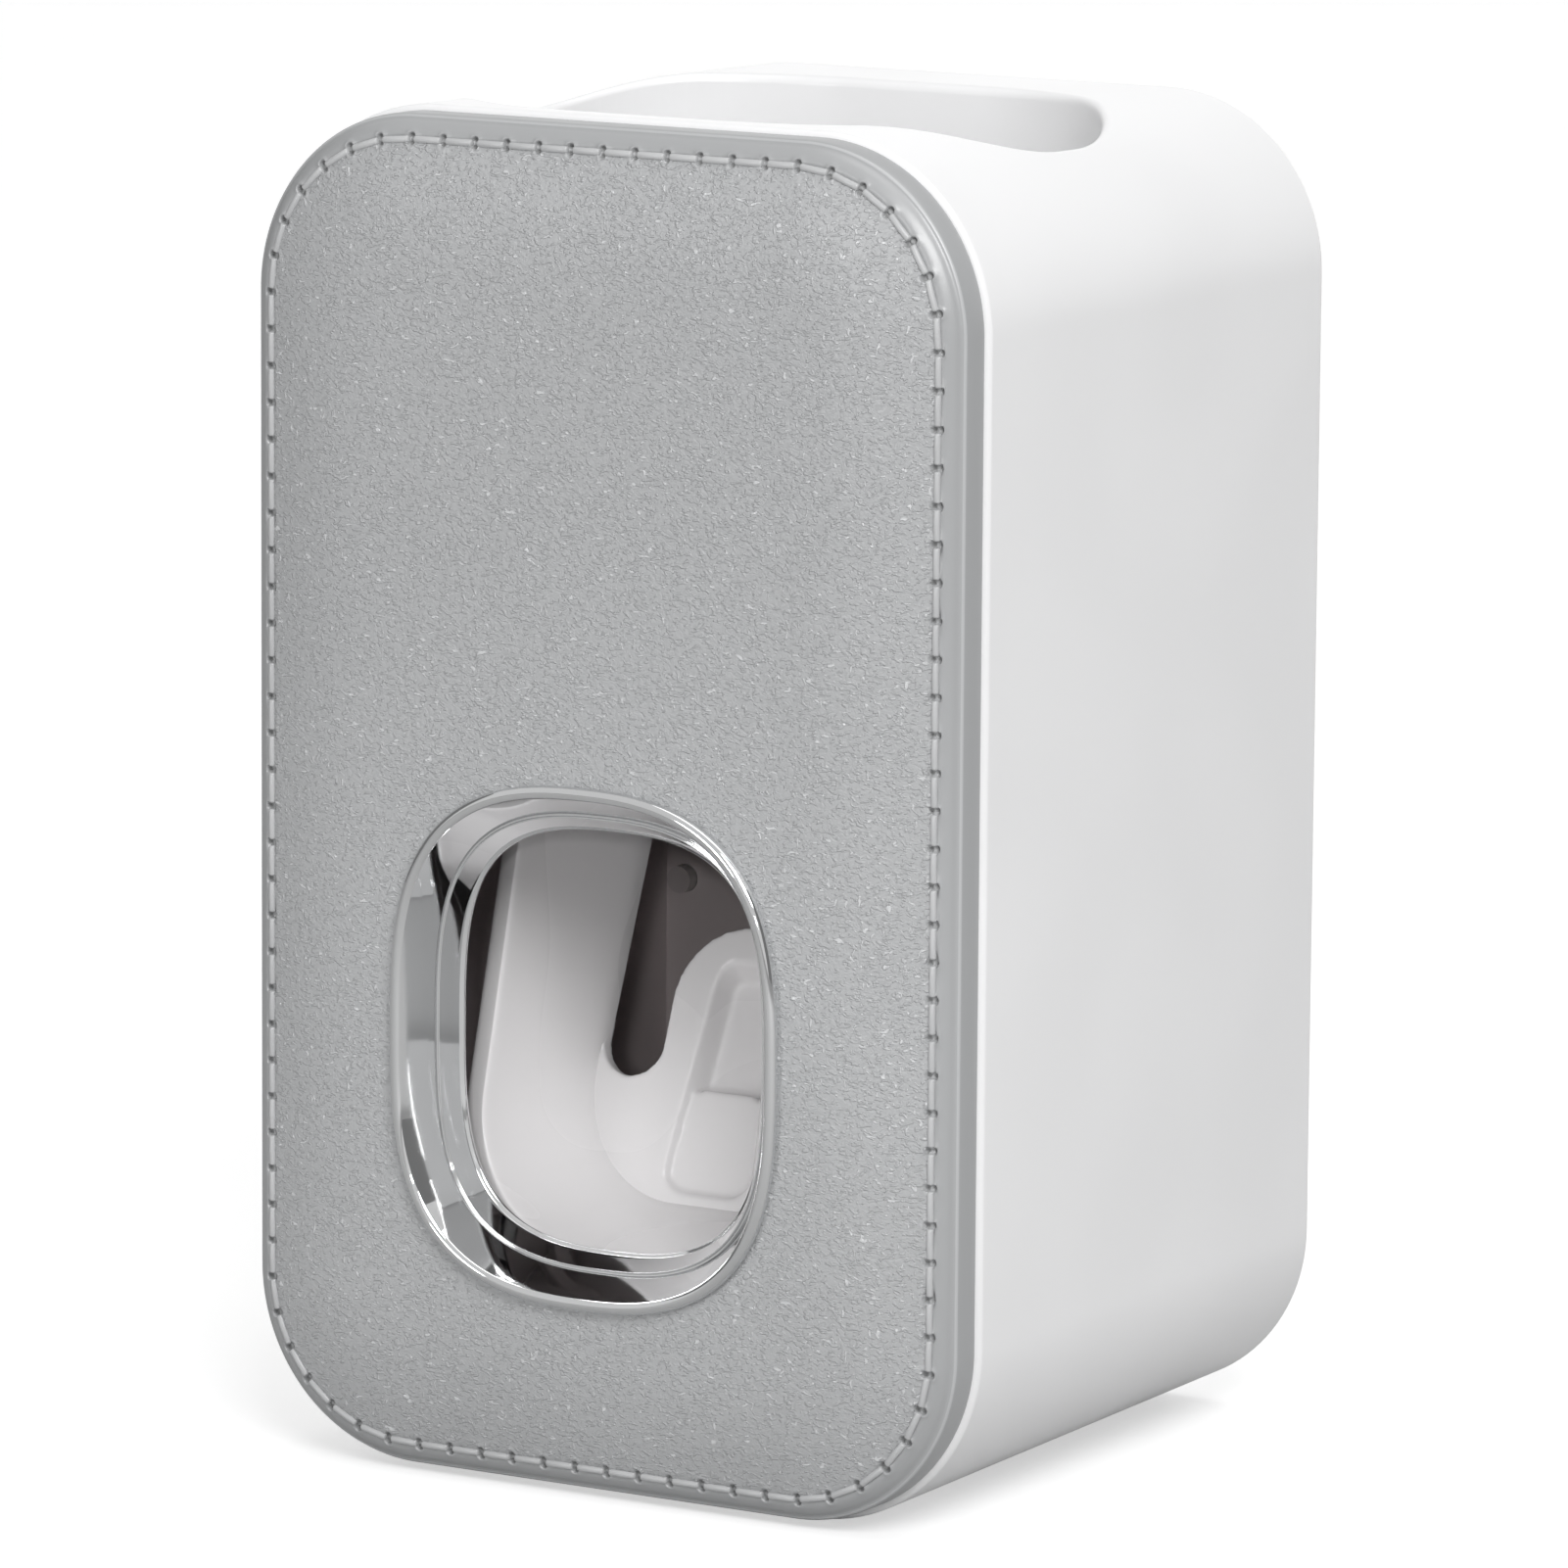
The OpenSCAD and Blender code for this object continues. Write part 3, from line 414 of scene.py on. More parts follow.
# %% Measure the shell
SHELL_R = 16.7 * MM
DRAFT = 1.04 * MM
WALL = 2.2 * MM
BACK_WALL = 5.6 * MM
EDGE = 0.6 * MM
WELL_WALL = 1.6 * MM
RIM = 0.9 * MM
RIM_STEPS = 8
COLLAR = 14 * MM
MOUTH_R = 21.1 * MM
half_shell = (shell_high.x, shell_high.z / 2)
shell_middle = Vector((0, FRONT, half_shell[1]))
shell_depth = shell_high.y - FRONT
well_low, well_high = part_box("tube_well")
mouth_half = ((well_high.x - well_low.x) / 2 - WELL_WALL, (well_high.y - well_low.y) / 2 - WELL_WALL)
mouth_middle = Vector((0, (well_low.y + well_high.y) / 2, 0))


def drawn_in(place, amount):
    return place + inwards(place, shell_middle, half_shell, SHELL_R)[0] * amount


def top_of_shell(x, y):
    """Height of the shell's outer skin above a point near its top."""
    draw = DRAFT * (y - FRONT) / shell_depth
    over = abs(x) - (half_shell[0] - SHELL_R)
    if over <= 0:
        return shell_high.z - draw
    return shell_high.z - SHELL_R + math.sqrt(max((SHELL_R - draw) ** 2 - over ** 2, 0))


PROBE = 0.05 * MM


def rim_place(place, turned):
    """A point of the mouth's rounded rim, from 0 on the outer skin to 1 on the mouth's wall."""
    way, core = inwards(place, mouth_middle, mouth_half, MOUTH_R, up_axis=1)
    start = core - way * (MOUTH_R + RIM)
    start.z = top_of_shell(start.x, start.y)
    ahead = start + way * PROBE
    slope = math.atan2(top_of_shell(ahead.x, ahead.y) - start.z, PROBE)
    radius = RIM / (1 + math.sin(slope))
    angle = slope - (slope + math.pi / 2) * turned
    offset = radius * (math.sin(slope) - math.sin(angle))
    return start + way * offset + Vector((0, 0, radius * (math.cos(angle) - math.cos(slope))))


print("Mouth in mm:", [round(2 * x / MM, 1) for x in mouth_half])

# %% [markdown]
# The body is a rounded face extruded back, hollowed from the front, with its two outer
# edges bevelled. The bevel takes only edges that lie on the outer outline of the front and
# of the back.

# %% Form the shell's body
def form_body():
    shell = rounded_plate("shell_body", shell_middle, half_shell, SHELL_R, 28)
    choose(shell, "FACE", lambda f: True)
    extrude_chosen(lambda p: drawn_in(p, DRAFT) + Vector((0, shell_depth, 0)))
    finish_edit()
    choose(shell, "FACE", lambda f: abs(f.normal.y) > 0.9 and f.center.y < FRONT + TINY)
    extrude_chosen(lambda p: drawn_in(p, WALL))
    extrude_chosen(lambda p: drawn_in(p, DRAFT) + Vector((0, shell_depth - BACK_WALL, 0)))
    finish_edit()
    face_outwards(shell)
    return shell


def on_outer_edge(edge):
    ends = edge_ends(shell, edge)
    for y, draw in ((FRONT, 0), (shell_high.y, DRAFT)):
        flat = all(abs(p.y - y) < TINY for p in ends)
        reach = [(p - inwards(p, shell_middle, half_shell, SHELL_R)[1]).xz.length for p in ends]
        if flat and all(abs(r - SHELL_R + draw) < 2 * TINY for r in reach):
            return True
    return False


shell = form_body()
print("Outer edges to round:", choose(shell, "EDGE", on_outer_edge))
bpy.ops.mesh.bevel(offset=EDGE, segments=5, profile=0.5)
finish_edit()

# %% [markdown]
# The mouth is cut with an upright rounded prism, wider than the mouth by the rim's radius.
# The faces that the cut leaves are then deleted, so that only the open edge remains.

# %% Cut the mouth
CUT_LOW = 108 * MM
CUT_TALL = 20 * MM


def mouth_reach(place):
    """The way inwards, and how far a place lies outside the mouth's core."""
    way, core = inwards(place, mouth_middle, mouth_half, MOUTH_R, up_axis=1)
    return way, (place - core).xy.length


def on_cut(face):
    for index in face.vertices:
        place = shell.data.vertices[index].co
        if abs(mouth_reach(place)[1] - MOUTH_R - RIM) > TINY or place.z < CUT_LOW:
            return False
    return abs(face.normal.z) < 0.7


grown = (mouth_half[0] + RIM, mouth_half[1] + RIM)
cutter = rounded_plate("mouth_cutter", mouth_middle + Vector((0, 0, CUT_LOW)), grown,
                       MOUTH_R + RIM, 40, cuts=(12, 3), facing="UP")
thicken(cutter, lambda p: p + Vector((0, 0, CUT_TALL)))
cut_with(shell, cutter)
print("Faces of the mouth's cut:", choose(shell, "FACE", on_cut))
bpy.ops.mesh.delete(type="FACE")
finish_edit()

# %% [markdown]
# The open edge is now rolled over in small steps, led down as a collar, turned outwards by
# the wall's thickness, and bridged to the shell's inner skin.

# %% Roll the mouth's rim
NEAR_SKIN = 0.6 * MM


def on_skin(edge):
    ends = edge_ends(shell, edge)
    return edge.key in borders and all(p.z > top_of_shell(p.x, p.y) - NEAR_SKIN for p in ends)


borders = border_edges(shell)
print("Edges of the mouth's rim:", choose(shell, "EDGE", on_skin))
for step in range(1, RIM_STEPS + 1):
    extrude_chosen(lambda p: rim_place(p, step / RIM_STEPS))
extrude_chosen(lambda p: Vector((p.x, p.y, shell_high.z - COLLAR)))
extrude_chosen(lambda p: p - mouth_reach(p)[0] * RIM)
finish_edit()
borders = border_edges(shell)
choose(shell, "EDGE", lambda e: e.key in borders)
bpy.ops.mesh.bridge_edge_loops()
finish_edit()

# %% [markdown]
# At the back the shell has a shallow pocket that drops over the wall bracket. Four short
# rails at its sides catch the bracket's tabs. Four round seats take the screws that hold
# the chassis. These are straight cuts, made with a bevelled box and with rods.

# %% Cut the back of the shell
POCKET_DEPTH = 3.4 * MM
LIFT = 12 * MM
RAIL_W = 2.6 * MM
RAIL_H = 10 * MM
RAIL_T = 1.6 * MM
RAIL_ROOT = 0.3 * MM
RAIL_SUNK = 0.02 * MM
RAIL_BEVEL = 0.25 * MM
POCKET_BEVEL = 0.6 * MM
HEAD_R = 2.6 * MM
HEAD_T = 1.3 * MM
HEAD_GAP = 0.2 * MM
SIDE_GAP = 0.4 * MM
END_GAP = 0.3 * MM
bracket_low, bracket_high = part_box("wall_bracket")
pocket_low = Vector((bracket_low.x - SIDE_GAP, shell_high.y - POCKET_DEPTH, bracket_low.z - LIFT - END_GAP))
pocket_high = Vector((bracket_high.x + SIDE_GAP, shell_high.y + MM, bracket_high.z + END_GAP))
screws_low, screws_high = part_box("chassis_screws")
screw_places = [(side * (screws_high.x - HEAD_R), z) for side in (-1, 1)
                for z in (screws_low.z + HEAD_R, screws_high.z - HEAD_R)]


def model_back():
    cut_with(shell, box_piece("pocket", pocket_low, pocket_high, bevel=POCKET_BEVEL))
    for x, z in screw_places:
        cut_with(shell, rod_piece("seat", (x, shell_high.y - HEAD_T, z), (x, shell_high.y + MM, z),
                                  HEAD_R + HEAD_GAP))
    rails = []
    for side in (-1, 1):
        for top in (pocket_high.z + 0.5 * MM, bracket_low.z + RAIL_H - MM):
            edge = side * (pocket_high.x + RAIL_ROOT)
            inner = side * (pocket_high.x - RAIL_W)
            rails.append(box_piece("rail", (min(edge, inner), shell_high.y - RAIL_T, top - RAIL_H),
                                   (max(edge, inner), shell_high.y - RAIL_SUNK, top), bevel=RAIL_BEVEL))
    return join([shell] + rails, "shell_body")


shell = model_back()
soften(shell)
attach(shell, "housing")
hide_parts("outer_shell")
print("Shell faces:", len(shell.data.polygons))

# %% [markdown]
# The front is a padded, leather-look panel. It is moulded in one piece: a straight edge, a
# rolled border, and a crowned middle that begins at a row of stitches. Insetting one face
# again and again, each time by a small step and a small rise, draws exactly such a form,
# because every ring follows the outline. The rings' rises follow a curve. Round the stitch
# line the rings lie close together, so that the needle holes can be sunk into the mesh.

# %% Shape the padded panel
panel_low, panel_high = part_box("front_panel")
half_panel = ((panel_high.x - panel_low.x) / 2, (panel_high.z - panel_low.z) / 2)
panel_middle = Vector((0, FRONT, (panel_high.z + panel_low.z) / 2))
PANEL_R = SHELL_R - 0.54 * MM
PANEL_EDGE = 2.5 * MM
STITCH_IN = 2.1 * MM
STITCH_OUT = 4.1 * MM
CROWN_OUT = 5.8 * MM
CROWN_END = 12.1 * MM
RIDGE = (0.18 * MM, 0.13 * MM, 0.11 * MM)
GROOVE = (0.5 * MM, 0.08 * MM, 0.16 * MM)
VALLEY = (STITCH_IN, 0.16 * MM, 0.38 * MM)
CORNER_CUTS = 70
SIDE_CUTS = (120, 270)


def panel_rise(inset):
    """How far the panel stands out at a distance in from its edge."""
    if inset <= STITCH_IN:
        t = inset / STITCH_IN
        return PANEL_EDGE + (STITCH_OUT - PANEL_EDGE) * math.sin(t * math.pi / 2) ** 0.92
    t = min(1.0, (inset - STITCH_IN) / CROWN_END)
    return STITCH_OUT + (CROWN_OUT - STITCH_OUT) * (1 - (1 - t) ** 2.4)


def swell(value, middle, height, width):
    """A soft bump: its height at the middle, fading over a width."""
    return height * math.exp(-((value - middle) / width) ** 2)


def seam_dip(inset):
    """The shallow valley along the stitch line, and the fine ridge and groove at the edge."""
    return swell(inset, *VALLEY) + swell(inset, *GROOVE) - swell(inset, *RIDGE)


def ring_insets():
    """Distances in from the edge: fine over the rounded ridge, the border and the seam."""
    insets = []
    for start, gap, count in ((0, 0.09, 11), (1.0, 0.15, 14), (3.1, 0.5, 3), (4.6, 1.3, 7)):
        insets += [(start + gap * k) * MM for k in range(1, count + 1)]
    return insets

# %% [markdown]
# The panel itself: one rounded face with many cuts along its sides, extruded to its straight
# edge, and then inset ring by ring with the rises worked out above.

# %% Press the rings
def model_panel():
    panel = rounded_plate("padded_panel", panel_middle, half_panel, PANEL_R, CORNER_CUTS, cuts=SIDE_CUTS)
    choose(panel, "FACE", lambda f: True)
    extrude_chosen(lambda p: p + Vector((0, -PANEL_EDGE, 0)))
    before = 0.0
    height = PANEL_EDGE
    for inset in ring_insets():
        rise_now = panel_rise(inset) - seam_dip(inset)
        bpy.ops.mesh.inset(thickness=inset - before, depth=rise_now - height, use_even_offset=True)
        before = inset
        height = rise_now
    finish_edit()
    face_outwards(panel)
    print("Rings on the panel:", len(ring_insets()), "vertices:", len(panel.data.vertices))
    return panel


panel = model_panel()

# %% [markdown]
# The stitches are spaced evenly round the seam. Walking along the outline gives the place
# of each needle hole. The faces round each hole are subdivided twice, and their vertices
# are then pushed in by a soft-edged pit and raised a little in a ring round it. Leather is
# drawn in by its thread in the same way, and the raised lip catches the light.

# %% Sink the needle holes
STITCHES = 105
FIRST_STITCH = 0.2 * MM
HOLE_ACROSS = 0.52 * MM
HOLE_ALONG = 0.31 * MM
HOLE_DEPTH = 0.5 * MM
LIP_RISE = 0.09 * MM
SADDLE = 0.3 * MM
SQUARENESS = 2.6
BESIDE_HOLE = 1.5 * MM
seam_half = (half_panel[0] - STITCH_IN, half_panel[1] - STITCH_IN)
SEAM_R = PANEL_R - STITCH_IN


def seam_point(distance):
    """A point and the direction of the seam, clockwise from the top right corner's start."""
    top = 2 * (seam_half[0] - SEAM_R)
    side = 2 * (seam_half[1] - SEAM_R)
    arc = SEAM_R * math.pi / 2
    corners = ((1, 1), (1, -1), (-1, -1), (-1, 1))
    total = 2 * (top + side) + 4 * arc
    left = distance % total
    for index, (sx, sz) in enumerate(corners):
        centre = panel_middle + Vector((sx * (seam_half[0] - SEAM_R), 0, sz * (seam_half[1] - SEAM_R)))
        angle = math.pi / 2 - index * math.pi / 2
        if left < arc:
            angle -= left / SEAM_R
            out = Vector((math.cos(angle), 0, math.sin(angle)))
            return centre + out * SEAM_R, Vector((math.sin(angle), 0, -math.cos(angle)))
        left -= arc
        angle -= math.pi / 2
        out = Vector((math.cos(angle), 0, math.sin(angle)))
        along = Vector((math.sin(angle), 0, -math.cos(angle)))
        straight = side if index % 2 == 0 else top
        if left < straight:
            return centre + out * SEAM_R + along * left, along
        left -= straight
    return centre, along


seam_length = 4 * (seam_half[0] + seam_half[1] - 2 * SEAM_R) + 2 * math.pi * SEAM_R
pitch = seam_length / STITCHES
holes = [seam_point(FIRST_STITCH + k * pitch) for k in range(STITCHES)]
print("Stitch pitch in mm:", round(pitch / MM, 3))

# %% [markdown]
# A lookup answers, for any place on the panel, how far it is from the nearest hole along
# the seam and across it. A coarse grid keeps the search short.

# %% Find the nearest hole
def nearest_hole():
    """A lookup that gives the offset of a place from the hole beside it: along and across."""
    grid = {}
    for hole, along in holes:
        grid.setdefault((round(hole.x / (2 * MM)), round(hole.z / (2 * MM))), []).append((hole, along))

    def offset_at(place):
        if place.y > FRONT - 3 * MM:
            return None
        column, row = round(place.x / (2 * MM)), round(place.z / (2 * MM))
        for near in [(column + i, row + j) for i in (-1, 0, 1) for j in (-1, 0, 1)]:
            for hole, along in grid.get(near, []):
                gap = Vector((place.x - hole.x, 0, place.z - hole.z))
                if gap.length < BESIDE_HOLE:
                    return abs(gap.dot(along)), abs(gap.cross(along).y)
        return None

    return offset_at

# %% [markdown]
# Now the faces round the holes are subdivided and the vertices pushed in. The pit is deeper
# at its two ends than in its middle, where the thread passes down.

# %% Push the holes in
def sink_holes():
    offset_at = nearest_hole()
    for length, width in ((0.62 * MM, 0.8 * MM), (0.44 * MM, 0.66 * MM)):
        def beside_hole(face):
            gap = offset_at(face.center)
            return gap is not None and gap[0] < length and gap[1] < width

        print("Faces to refine round the holes:", choose(panel, "FACE", beside_hole))
        bpy.ops.mesh.subdivide(number_cuts=1)
        finish_edit()
    for vertex in panel.data.vertices:
        gap = offset_at(vertex.co)
        if gap is None:
            continue
        reach = (gap[0] / HOLE_ALONG) ** SQUARENESS + (gap[1] / HOLE_ACROSS) ** SQUARENESS
        reach **= 1 / SQUARENESS
        pit = min(max((1.2 - reach) / 0.5, 0.0), 1.0)
        saddle = 0.4 + 0.6 * min(gap[1] / SADDLE, 1.0) ** 2
        vertex.co.y += HOLE_DEPTH * saddle * pit * pit * (3 - 2 * pit) - swell(reach, 1.5, LIP_RISE, 0.3)


sink_holes()

# %% [markdown]
# The window is cut through the flat middle of the panel with a rounded prism, whose sides
# bow a little, as the window's do. The bezel's bead laps over the cut, so its edge stays
# sharp and hidden.

# %% Cut the window
bezel_low, bezel_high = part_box("window_bezel")
half_bezel = ((bezel_high.x - bezel_low.x) / 2, (bezel_high.z - bezel_low.z) / 2)
bezel_middle = Vector((0, FRONT, (bezel_high.z + bezel_low.z) / 2))
BEZEL_R = 14.85 * MM
LAP = 0.7 * MM
BOW_ACROSS = 2.55
BOW_UP = 3.0
BOW_PASSES = 12
BOW_PACE = 0.36
WINDOW_SINK = 2 * MM
WINDOW_CUT = 12 * MM


def bowed(place):
    """Moves a point of a rounded rectangle onto the window's own outline, whose sides bow."""
    way, core = inwards(place, bezel_middle, half_bezel, BEZEL_R)
    inset = BEZEL_R - (place - core).xz.length
    edge = core - way * BEZEL_R
    x, z = (edge.x - bezel_middle.x) / half_bezel[0], (edge.z - bezel_middle.z) / half_bezel[1]
    for _ in range(BOW_PASSES):
        size = abs(x) ** BOW_ACROSS + abs(z) ** BOW_UP
        x, z = x / size ** BOW_PACE, z / size ** BOW_PACE
    slope = Vector((math.copysign(abs(x) ** (BOW_ACROSS - 1) * BOW_ACROSS / half_bezel[0], x), 0,
                    math.copysign(abs(z) ** (BOW_UP - 1) * BOW_UP / half_bezel[1], z))).normalized()
    return Vector((bezel_middle.x + x * half_bezel[0] - slope.x * inset, place.y,
                   bezel_middle.z + z * half_bezel[1] - slope.z * inset))


window = rounded_plate("window_cutter", bezel_middle + Vector((0, WINDOW_SINK, 0)),
                       (half_bezel[0] - LAP, half_bezel[1] - LAP), BEZEL_R - LAP, 32, cuts=(8, 12))
thicken(window, lambda p: p + Vector((0, -WINDOW_CUT, 0)))
for corner in window.data.vertices:
    corner.co = bowed(corner.co)
cut_with(panel, window)
face_outwards(panel)
soften(panel, angle=50, weighted=False)
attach(panel, "housing")
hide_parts("front_panel")
print("Panel faces:", len(panel.data.polygons))

# %% [markdown]
# Between two holes lies one moulded length of thread: a short rod with round ends that
# bows up a little in its middle. One sphere is the model, and each rod is a copy of it whose
# two halves are drawn apart along the seam and whose rings are widened to an even rod.

# %% Lay the thread
THREAD_R = 0.31 * MM
THREAD_SHORT = 0.26 * MM
BOW_RISE = 0.1 * MM
BOW_DIVE = 0.14 * MM


def model_thread():
    deselect()
    bpy.ops.mesh.primitive_uv_sphere_add(segments=12, ring_count=8, radius=1, rotation=(0, math.pi / 2, 0))
    rod = bpy.context.object
    rod.name = "thread"
    settle()
    return rod


def lay_thread():
    rod = model_thread()
    rods = []
    for index in range(STITCHES):
        start, end = holes[index][0], holes[(index + 1) % STITCHES][0]
        along = (end - start).normalized()
        length = (end - start).length / 2 - THREAD_SHORT
        out = Vector((0, -1, 0))
        side = out.cross(along)
        middle_of_rod = (start + end) / 2
        way, core = inwards(middle_of_rod, panel_middle, half_panel, PANEL_R)
        inset = PANEL_R - (middle_of_rod - core).xz.length
        level_y = FRONT - panel_rise(inset) + seam_dip(inset)
        copy = own_copy(rod)
        for vertex in copy.data.vertices:
            x, y, z = vertex.co
            stretch = math.copysign(length - THREAD_R * (1 - abs(x)), x) if abs(x) > 0.05 else 0.0
            share = abs(stretch) / length
            bow = BOW_RISE * (1 - 0.3 * share ** 2) - BOW_DIVE * share ** 12
            ring = math.hypot(y, z)
            thick = THREAD_R * min(1.0, 0.38 + ring) / ring if ring > 0.01 else 0.0
            place = middle_of_rod + along * stretch + side * (y * thick) + out * (z * thick + bow)
            vertex.co = Vector((place.x, level_y - (middle_of_rod.y - place.y), place.z))
        rods.append(copy)
    bpy.data.objects.remove(rod)
    return join(rods, "seam_thread")


thread = lay_thread()
soften(thread, angle=60, weighted=False)
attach(thread, "housing")
print("Thread faces:", len(thread.data.polygons))

# %% [markdown]
# The bezel is a mirror-bright plated ring: a rounded bead outside, then two sloping walls
# that step in behind it. It has one section all round, so the section is drawn once, spun
# a quarter turn at each corner and extruded along each side. The last step meets the first
# and the two are merged.

# %% Model the bezel
BEAD = 0.62 * MM
BEAD_OUT = 6.9 * MM
CORNER_STEPS = 26
STRAIGHT_STEPS = 12
WALL_STEPS = ((2.8, 3.3), (2.85, 3.6), (3.04, 3.63), (3.09, 3.42), (3.2, 3.4), (4.05, 4.98),
              (4.18, 5.22), (4.36, 5.34), (4.5, 5.44))


def bezel_section():
    """Points of the section: how far out from the corner's centre, and how far to the front."""
    bead = [(BEZEL_R - BEAD + BEAD * math.cos(math.radians(a)),
             BEAD_OUT - BEAD + BEAD * math.sin(math.radians(a))) for a in range(-45, 151, 15)]
    walls = [(BEZEL_R - inset * MM, BEAD_OUT - depth * MM) for inset, depth in WALL_STEPS]
    rear = [(BEZEL_R - 4.5 * MM, BEAD_OUT - 5.7 * MM), (BEZEL_R - 3.7 * MM, BEAD_OUT - 6.05 * MM),
            (BEZEL_R - 0.85 * MM, 0.1 * MM), (BEZEL_R - 0.85 * MM, CROWN_OUT - 0.1 * MM),
            (BEZEL_R - 0.18 * MM, CROWN_OUT - 0.1 * MM)]
    return rear + bead + walls

# %% [markdown]
# The section is placed at one corner, and spin and extrude carry it round the window. Its
# sides are then bowed like the window's, and a fine bevel rounds its edges.

# %% Spin the bezel
def model_bezel():
    section = bezel_section()
    start = bezel_middle + Vector((half_bezel[0] - BEZEL_R, 0, -(half_bezel[1] - BEZEL_R)))
    deselect()
    bpy.ops.mesh.primitive_circle_add(vertices=len(section), radius=MM, fill_type="NOTHING")
    ring = bpy.context.object
    ring.name = "bezel_ring"
    settle()
    for vertex, (out, front) in zip(ring.data.vertices, section):
        vertex.co = start + Vector((out, -front, 0))
    focus(ring)
    bpy.ops.object.mode_set(mode="EDIT")
    bpy.ops.mesh.select_mode(type="EDGE")
    bpy.ops.mesh.select_all(action="SELECT")
    straights = (2 * (half_bezel[1] - BEZEL_R), 2 * (half_bezel[0] - BEZEL_R))
    corners = ((1, 1), (-1, 1), (-1, -1), (1, -1))
    for index, (sx, sz) in enumerate(corners):
        angle = math.pi / 2 * index
        along = Vector((-math.sin(angle), 0, math.cos(angle)))
        step = straights[index % 2]
        for _ in range(STRAIGHT_STEPS):
            bpy.ops.mesh.extrude_region_move(
                TRANSFORM_OT_translate={"value": along * (step / STRAIGHT_STEPS)})
        centre = bezel_middle + Vector((sx * (half_bezel[0] - BEZEL_R), 0, sz * (half_bezel[1] - BEZEL_R)))
        bpy.ops.mesh.spin(steps=CORNER_STEPS, angle=math.pi / 2, center=centre, axis=(0, 1, 0))
    finish_edit()
    for vertex in ring.data.vertices:
        vertex.co = bowed(vertex.co)
    face_outwards(ring)
    apply_modifier(ring, "BEVEL", width=0.05 * MM, segments=3, limit_method="ANGLE",
                   angle_limit=math.radians(22))
    return ring


bezel = model_bezel()
soften(bezel, angle=40)
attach(bezel, "housing")
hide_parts("window_bezel")
print("Bezel faces:", len(bezel.data.polygons))

# %% [markdown]
# The push lever is the white scoop behind the window. Its side walls curve in from a rolled
# lip to a narrower throat, and a back wall with two slots and a tongue closes it. A grid is
# the natural start: its long way follows the U of the rim, its short way goes once round
# the wall's section, and every vertex is sent to its place by the same rule.

# %% Loft the scoop
PIVOT_Y = FRONT + 24 * MM
PIVOT_Z = 73 * MM
SCOOP_FLOOR = 20.6 * MM
SCOOP_HALF = 16.3 * MM
SCOOP_R = 12.6 * MM
THROAT_HALF = 13.3 * MM
THROAT_R = 10.3 * MM
THROAT_RISE = 2.3 * MM
THROAT_DEPTH = 12.5 * MM
RIM_LEAN = math.tan(math.radians(14.4))
BACK_LEAN = math.radians(20.8)
WALL_TOP = 67.8 * MM
ARC_STEPS = 30
SIDE_STEPS = 26
REAR = 1.1
DRAW_CURVE = 1.6


def rim_depth(z):
    return FRONT + 0.5 * MM + (z - SCOOP_FLOOR) * RIM_LEAN


def throat_depth(z):
    return FRONT + THROAT_DEPTH + (z - SCOOP_FLOOR) * math.tan(BACK_LEAN)


def scoop_outline(half, radius, low):
    """The U of the scoop seen from the front, from its top left to its top right."""
    left = [(-half, WALL_TOP + (low + radius - WALL_TOP) * k / SIDE_STEPS) for k in range(SIDE_STEPS)]
    angles = [math.pi + math.pi / 2 * k / ARC_STEPS for k in range(ARC_STEPS + 1)]
    path = left + [(-half + radius + radius * math.cos(angle), low + radius + radius * math.sin(angle))
                   for angle in angles]
    return path + [(-x, z) for x, z in reversed(path)]

# %% [markdown]
# The section of the wall runs up the inner face, over the rolled lip and down the outer
# face. Every ring of the grid then takes one point of it.

# %% Loft the wall
def scoop_section():
    """Round the wall's section: distance outside the inner face, and depth from rim to back."""
    lip = [(0, 0.06), (0.03, 0.03), (0.1, 0.008), (0.22, 0.0), (0.42, 0.002), (0.8, 0.01),
           (1.3, 0.022), (1.8, 0.036), (2.2, 0.052), (2.5, 0.075), (2.66, 0.105), (2.64, 0.15),
           (2.4, 0.2), (2.0, 0.25)]
    inner = [(0, REAR - (REAR - 0.06) * k / 18) for k in range(18)]
    outer = [(2.0, 0.25 + (REAR - 0.25) * k / 12) for k in range(1, 13)]
    return inner + lip + outer


def scoop_loft():
    section = scoop_section()
    rings = []
    for out, depth in section:
        draw = min(depth, 1.0) ** DRAW_CURVE
        half = SCOOP_HALF + (THROAT_HALF - SCOOP_HALF) * draw + out * MM
        radius = SCOOP_R + (THROAT_R - SCOOP_R) * draw + out * MM
        low = SCOOP_FLOOR + THROAT_RISE * draw - out * MM
        ring = []
        for x, z in scoop_outline(half, radius, low):
            ring.append(Vector((x, rim_depth(z) + (throat_depth(z) - rim_depth(z)) * depth, z)))
        rings.append(ring)
    around, along = len(rings), len(rings[0])
    deselect()
    bpy.ops.mesh.primitive_grid_add(x_subdivisions=along - 1, y_subdivisions=around, size=2)
    scoop = bpy.context.object
    scoop.name = "scoop"
    for vertex in scoop.data.vertices:
        i = round((vertex.co.x + 1) / 2 * (along - 1))
        j = round((vertex.co.y + 1) / 2 * around) % around
        vertex.co = rings[j][i]
    face_outwards(scoop)
    choose(scoop, "EDGE", lambda e: True)
    bpy.ops.mesh.fill_holes(sides=0)
    finish_edit()
    face_outwards(scoop)
    return scoop


scoop = scoop_loft()
print("Scoop faces:", len(scoop.data.polygons))

# %% [markdown]
# The back wall, its tongue and the stepped recess are flat outlines with a thickness, laid
# on a plane that leans back. They are drawn upright first, as rounded plates and rods, and
# then tipped onto that plane. The two slots and the recess are cut out of them.

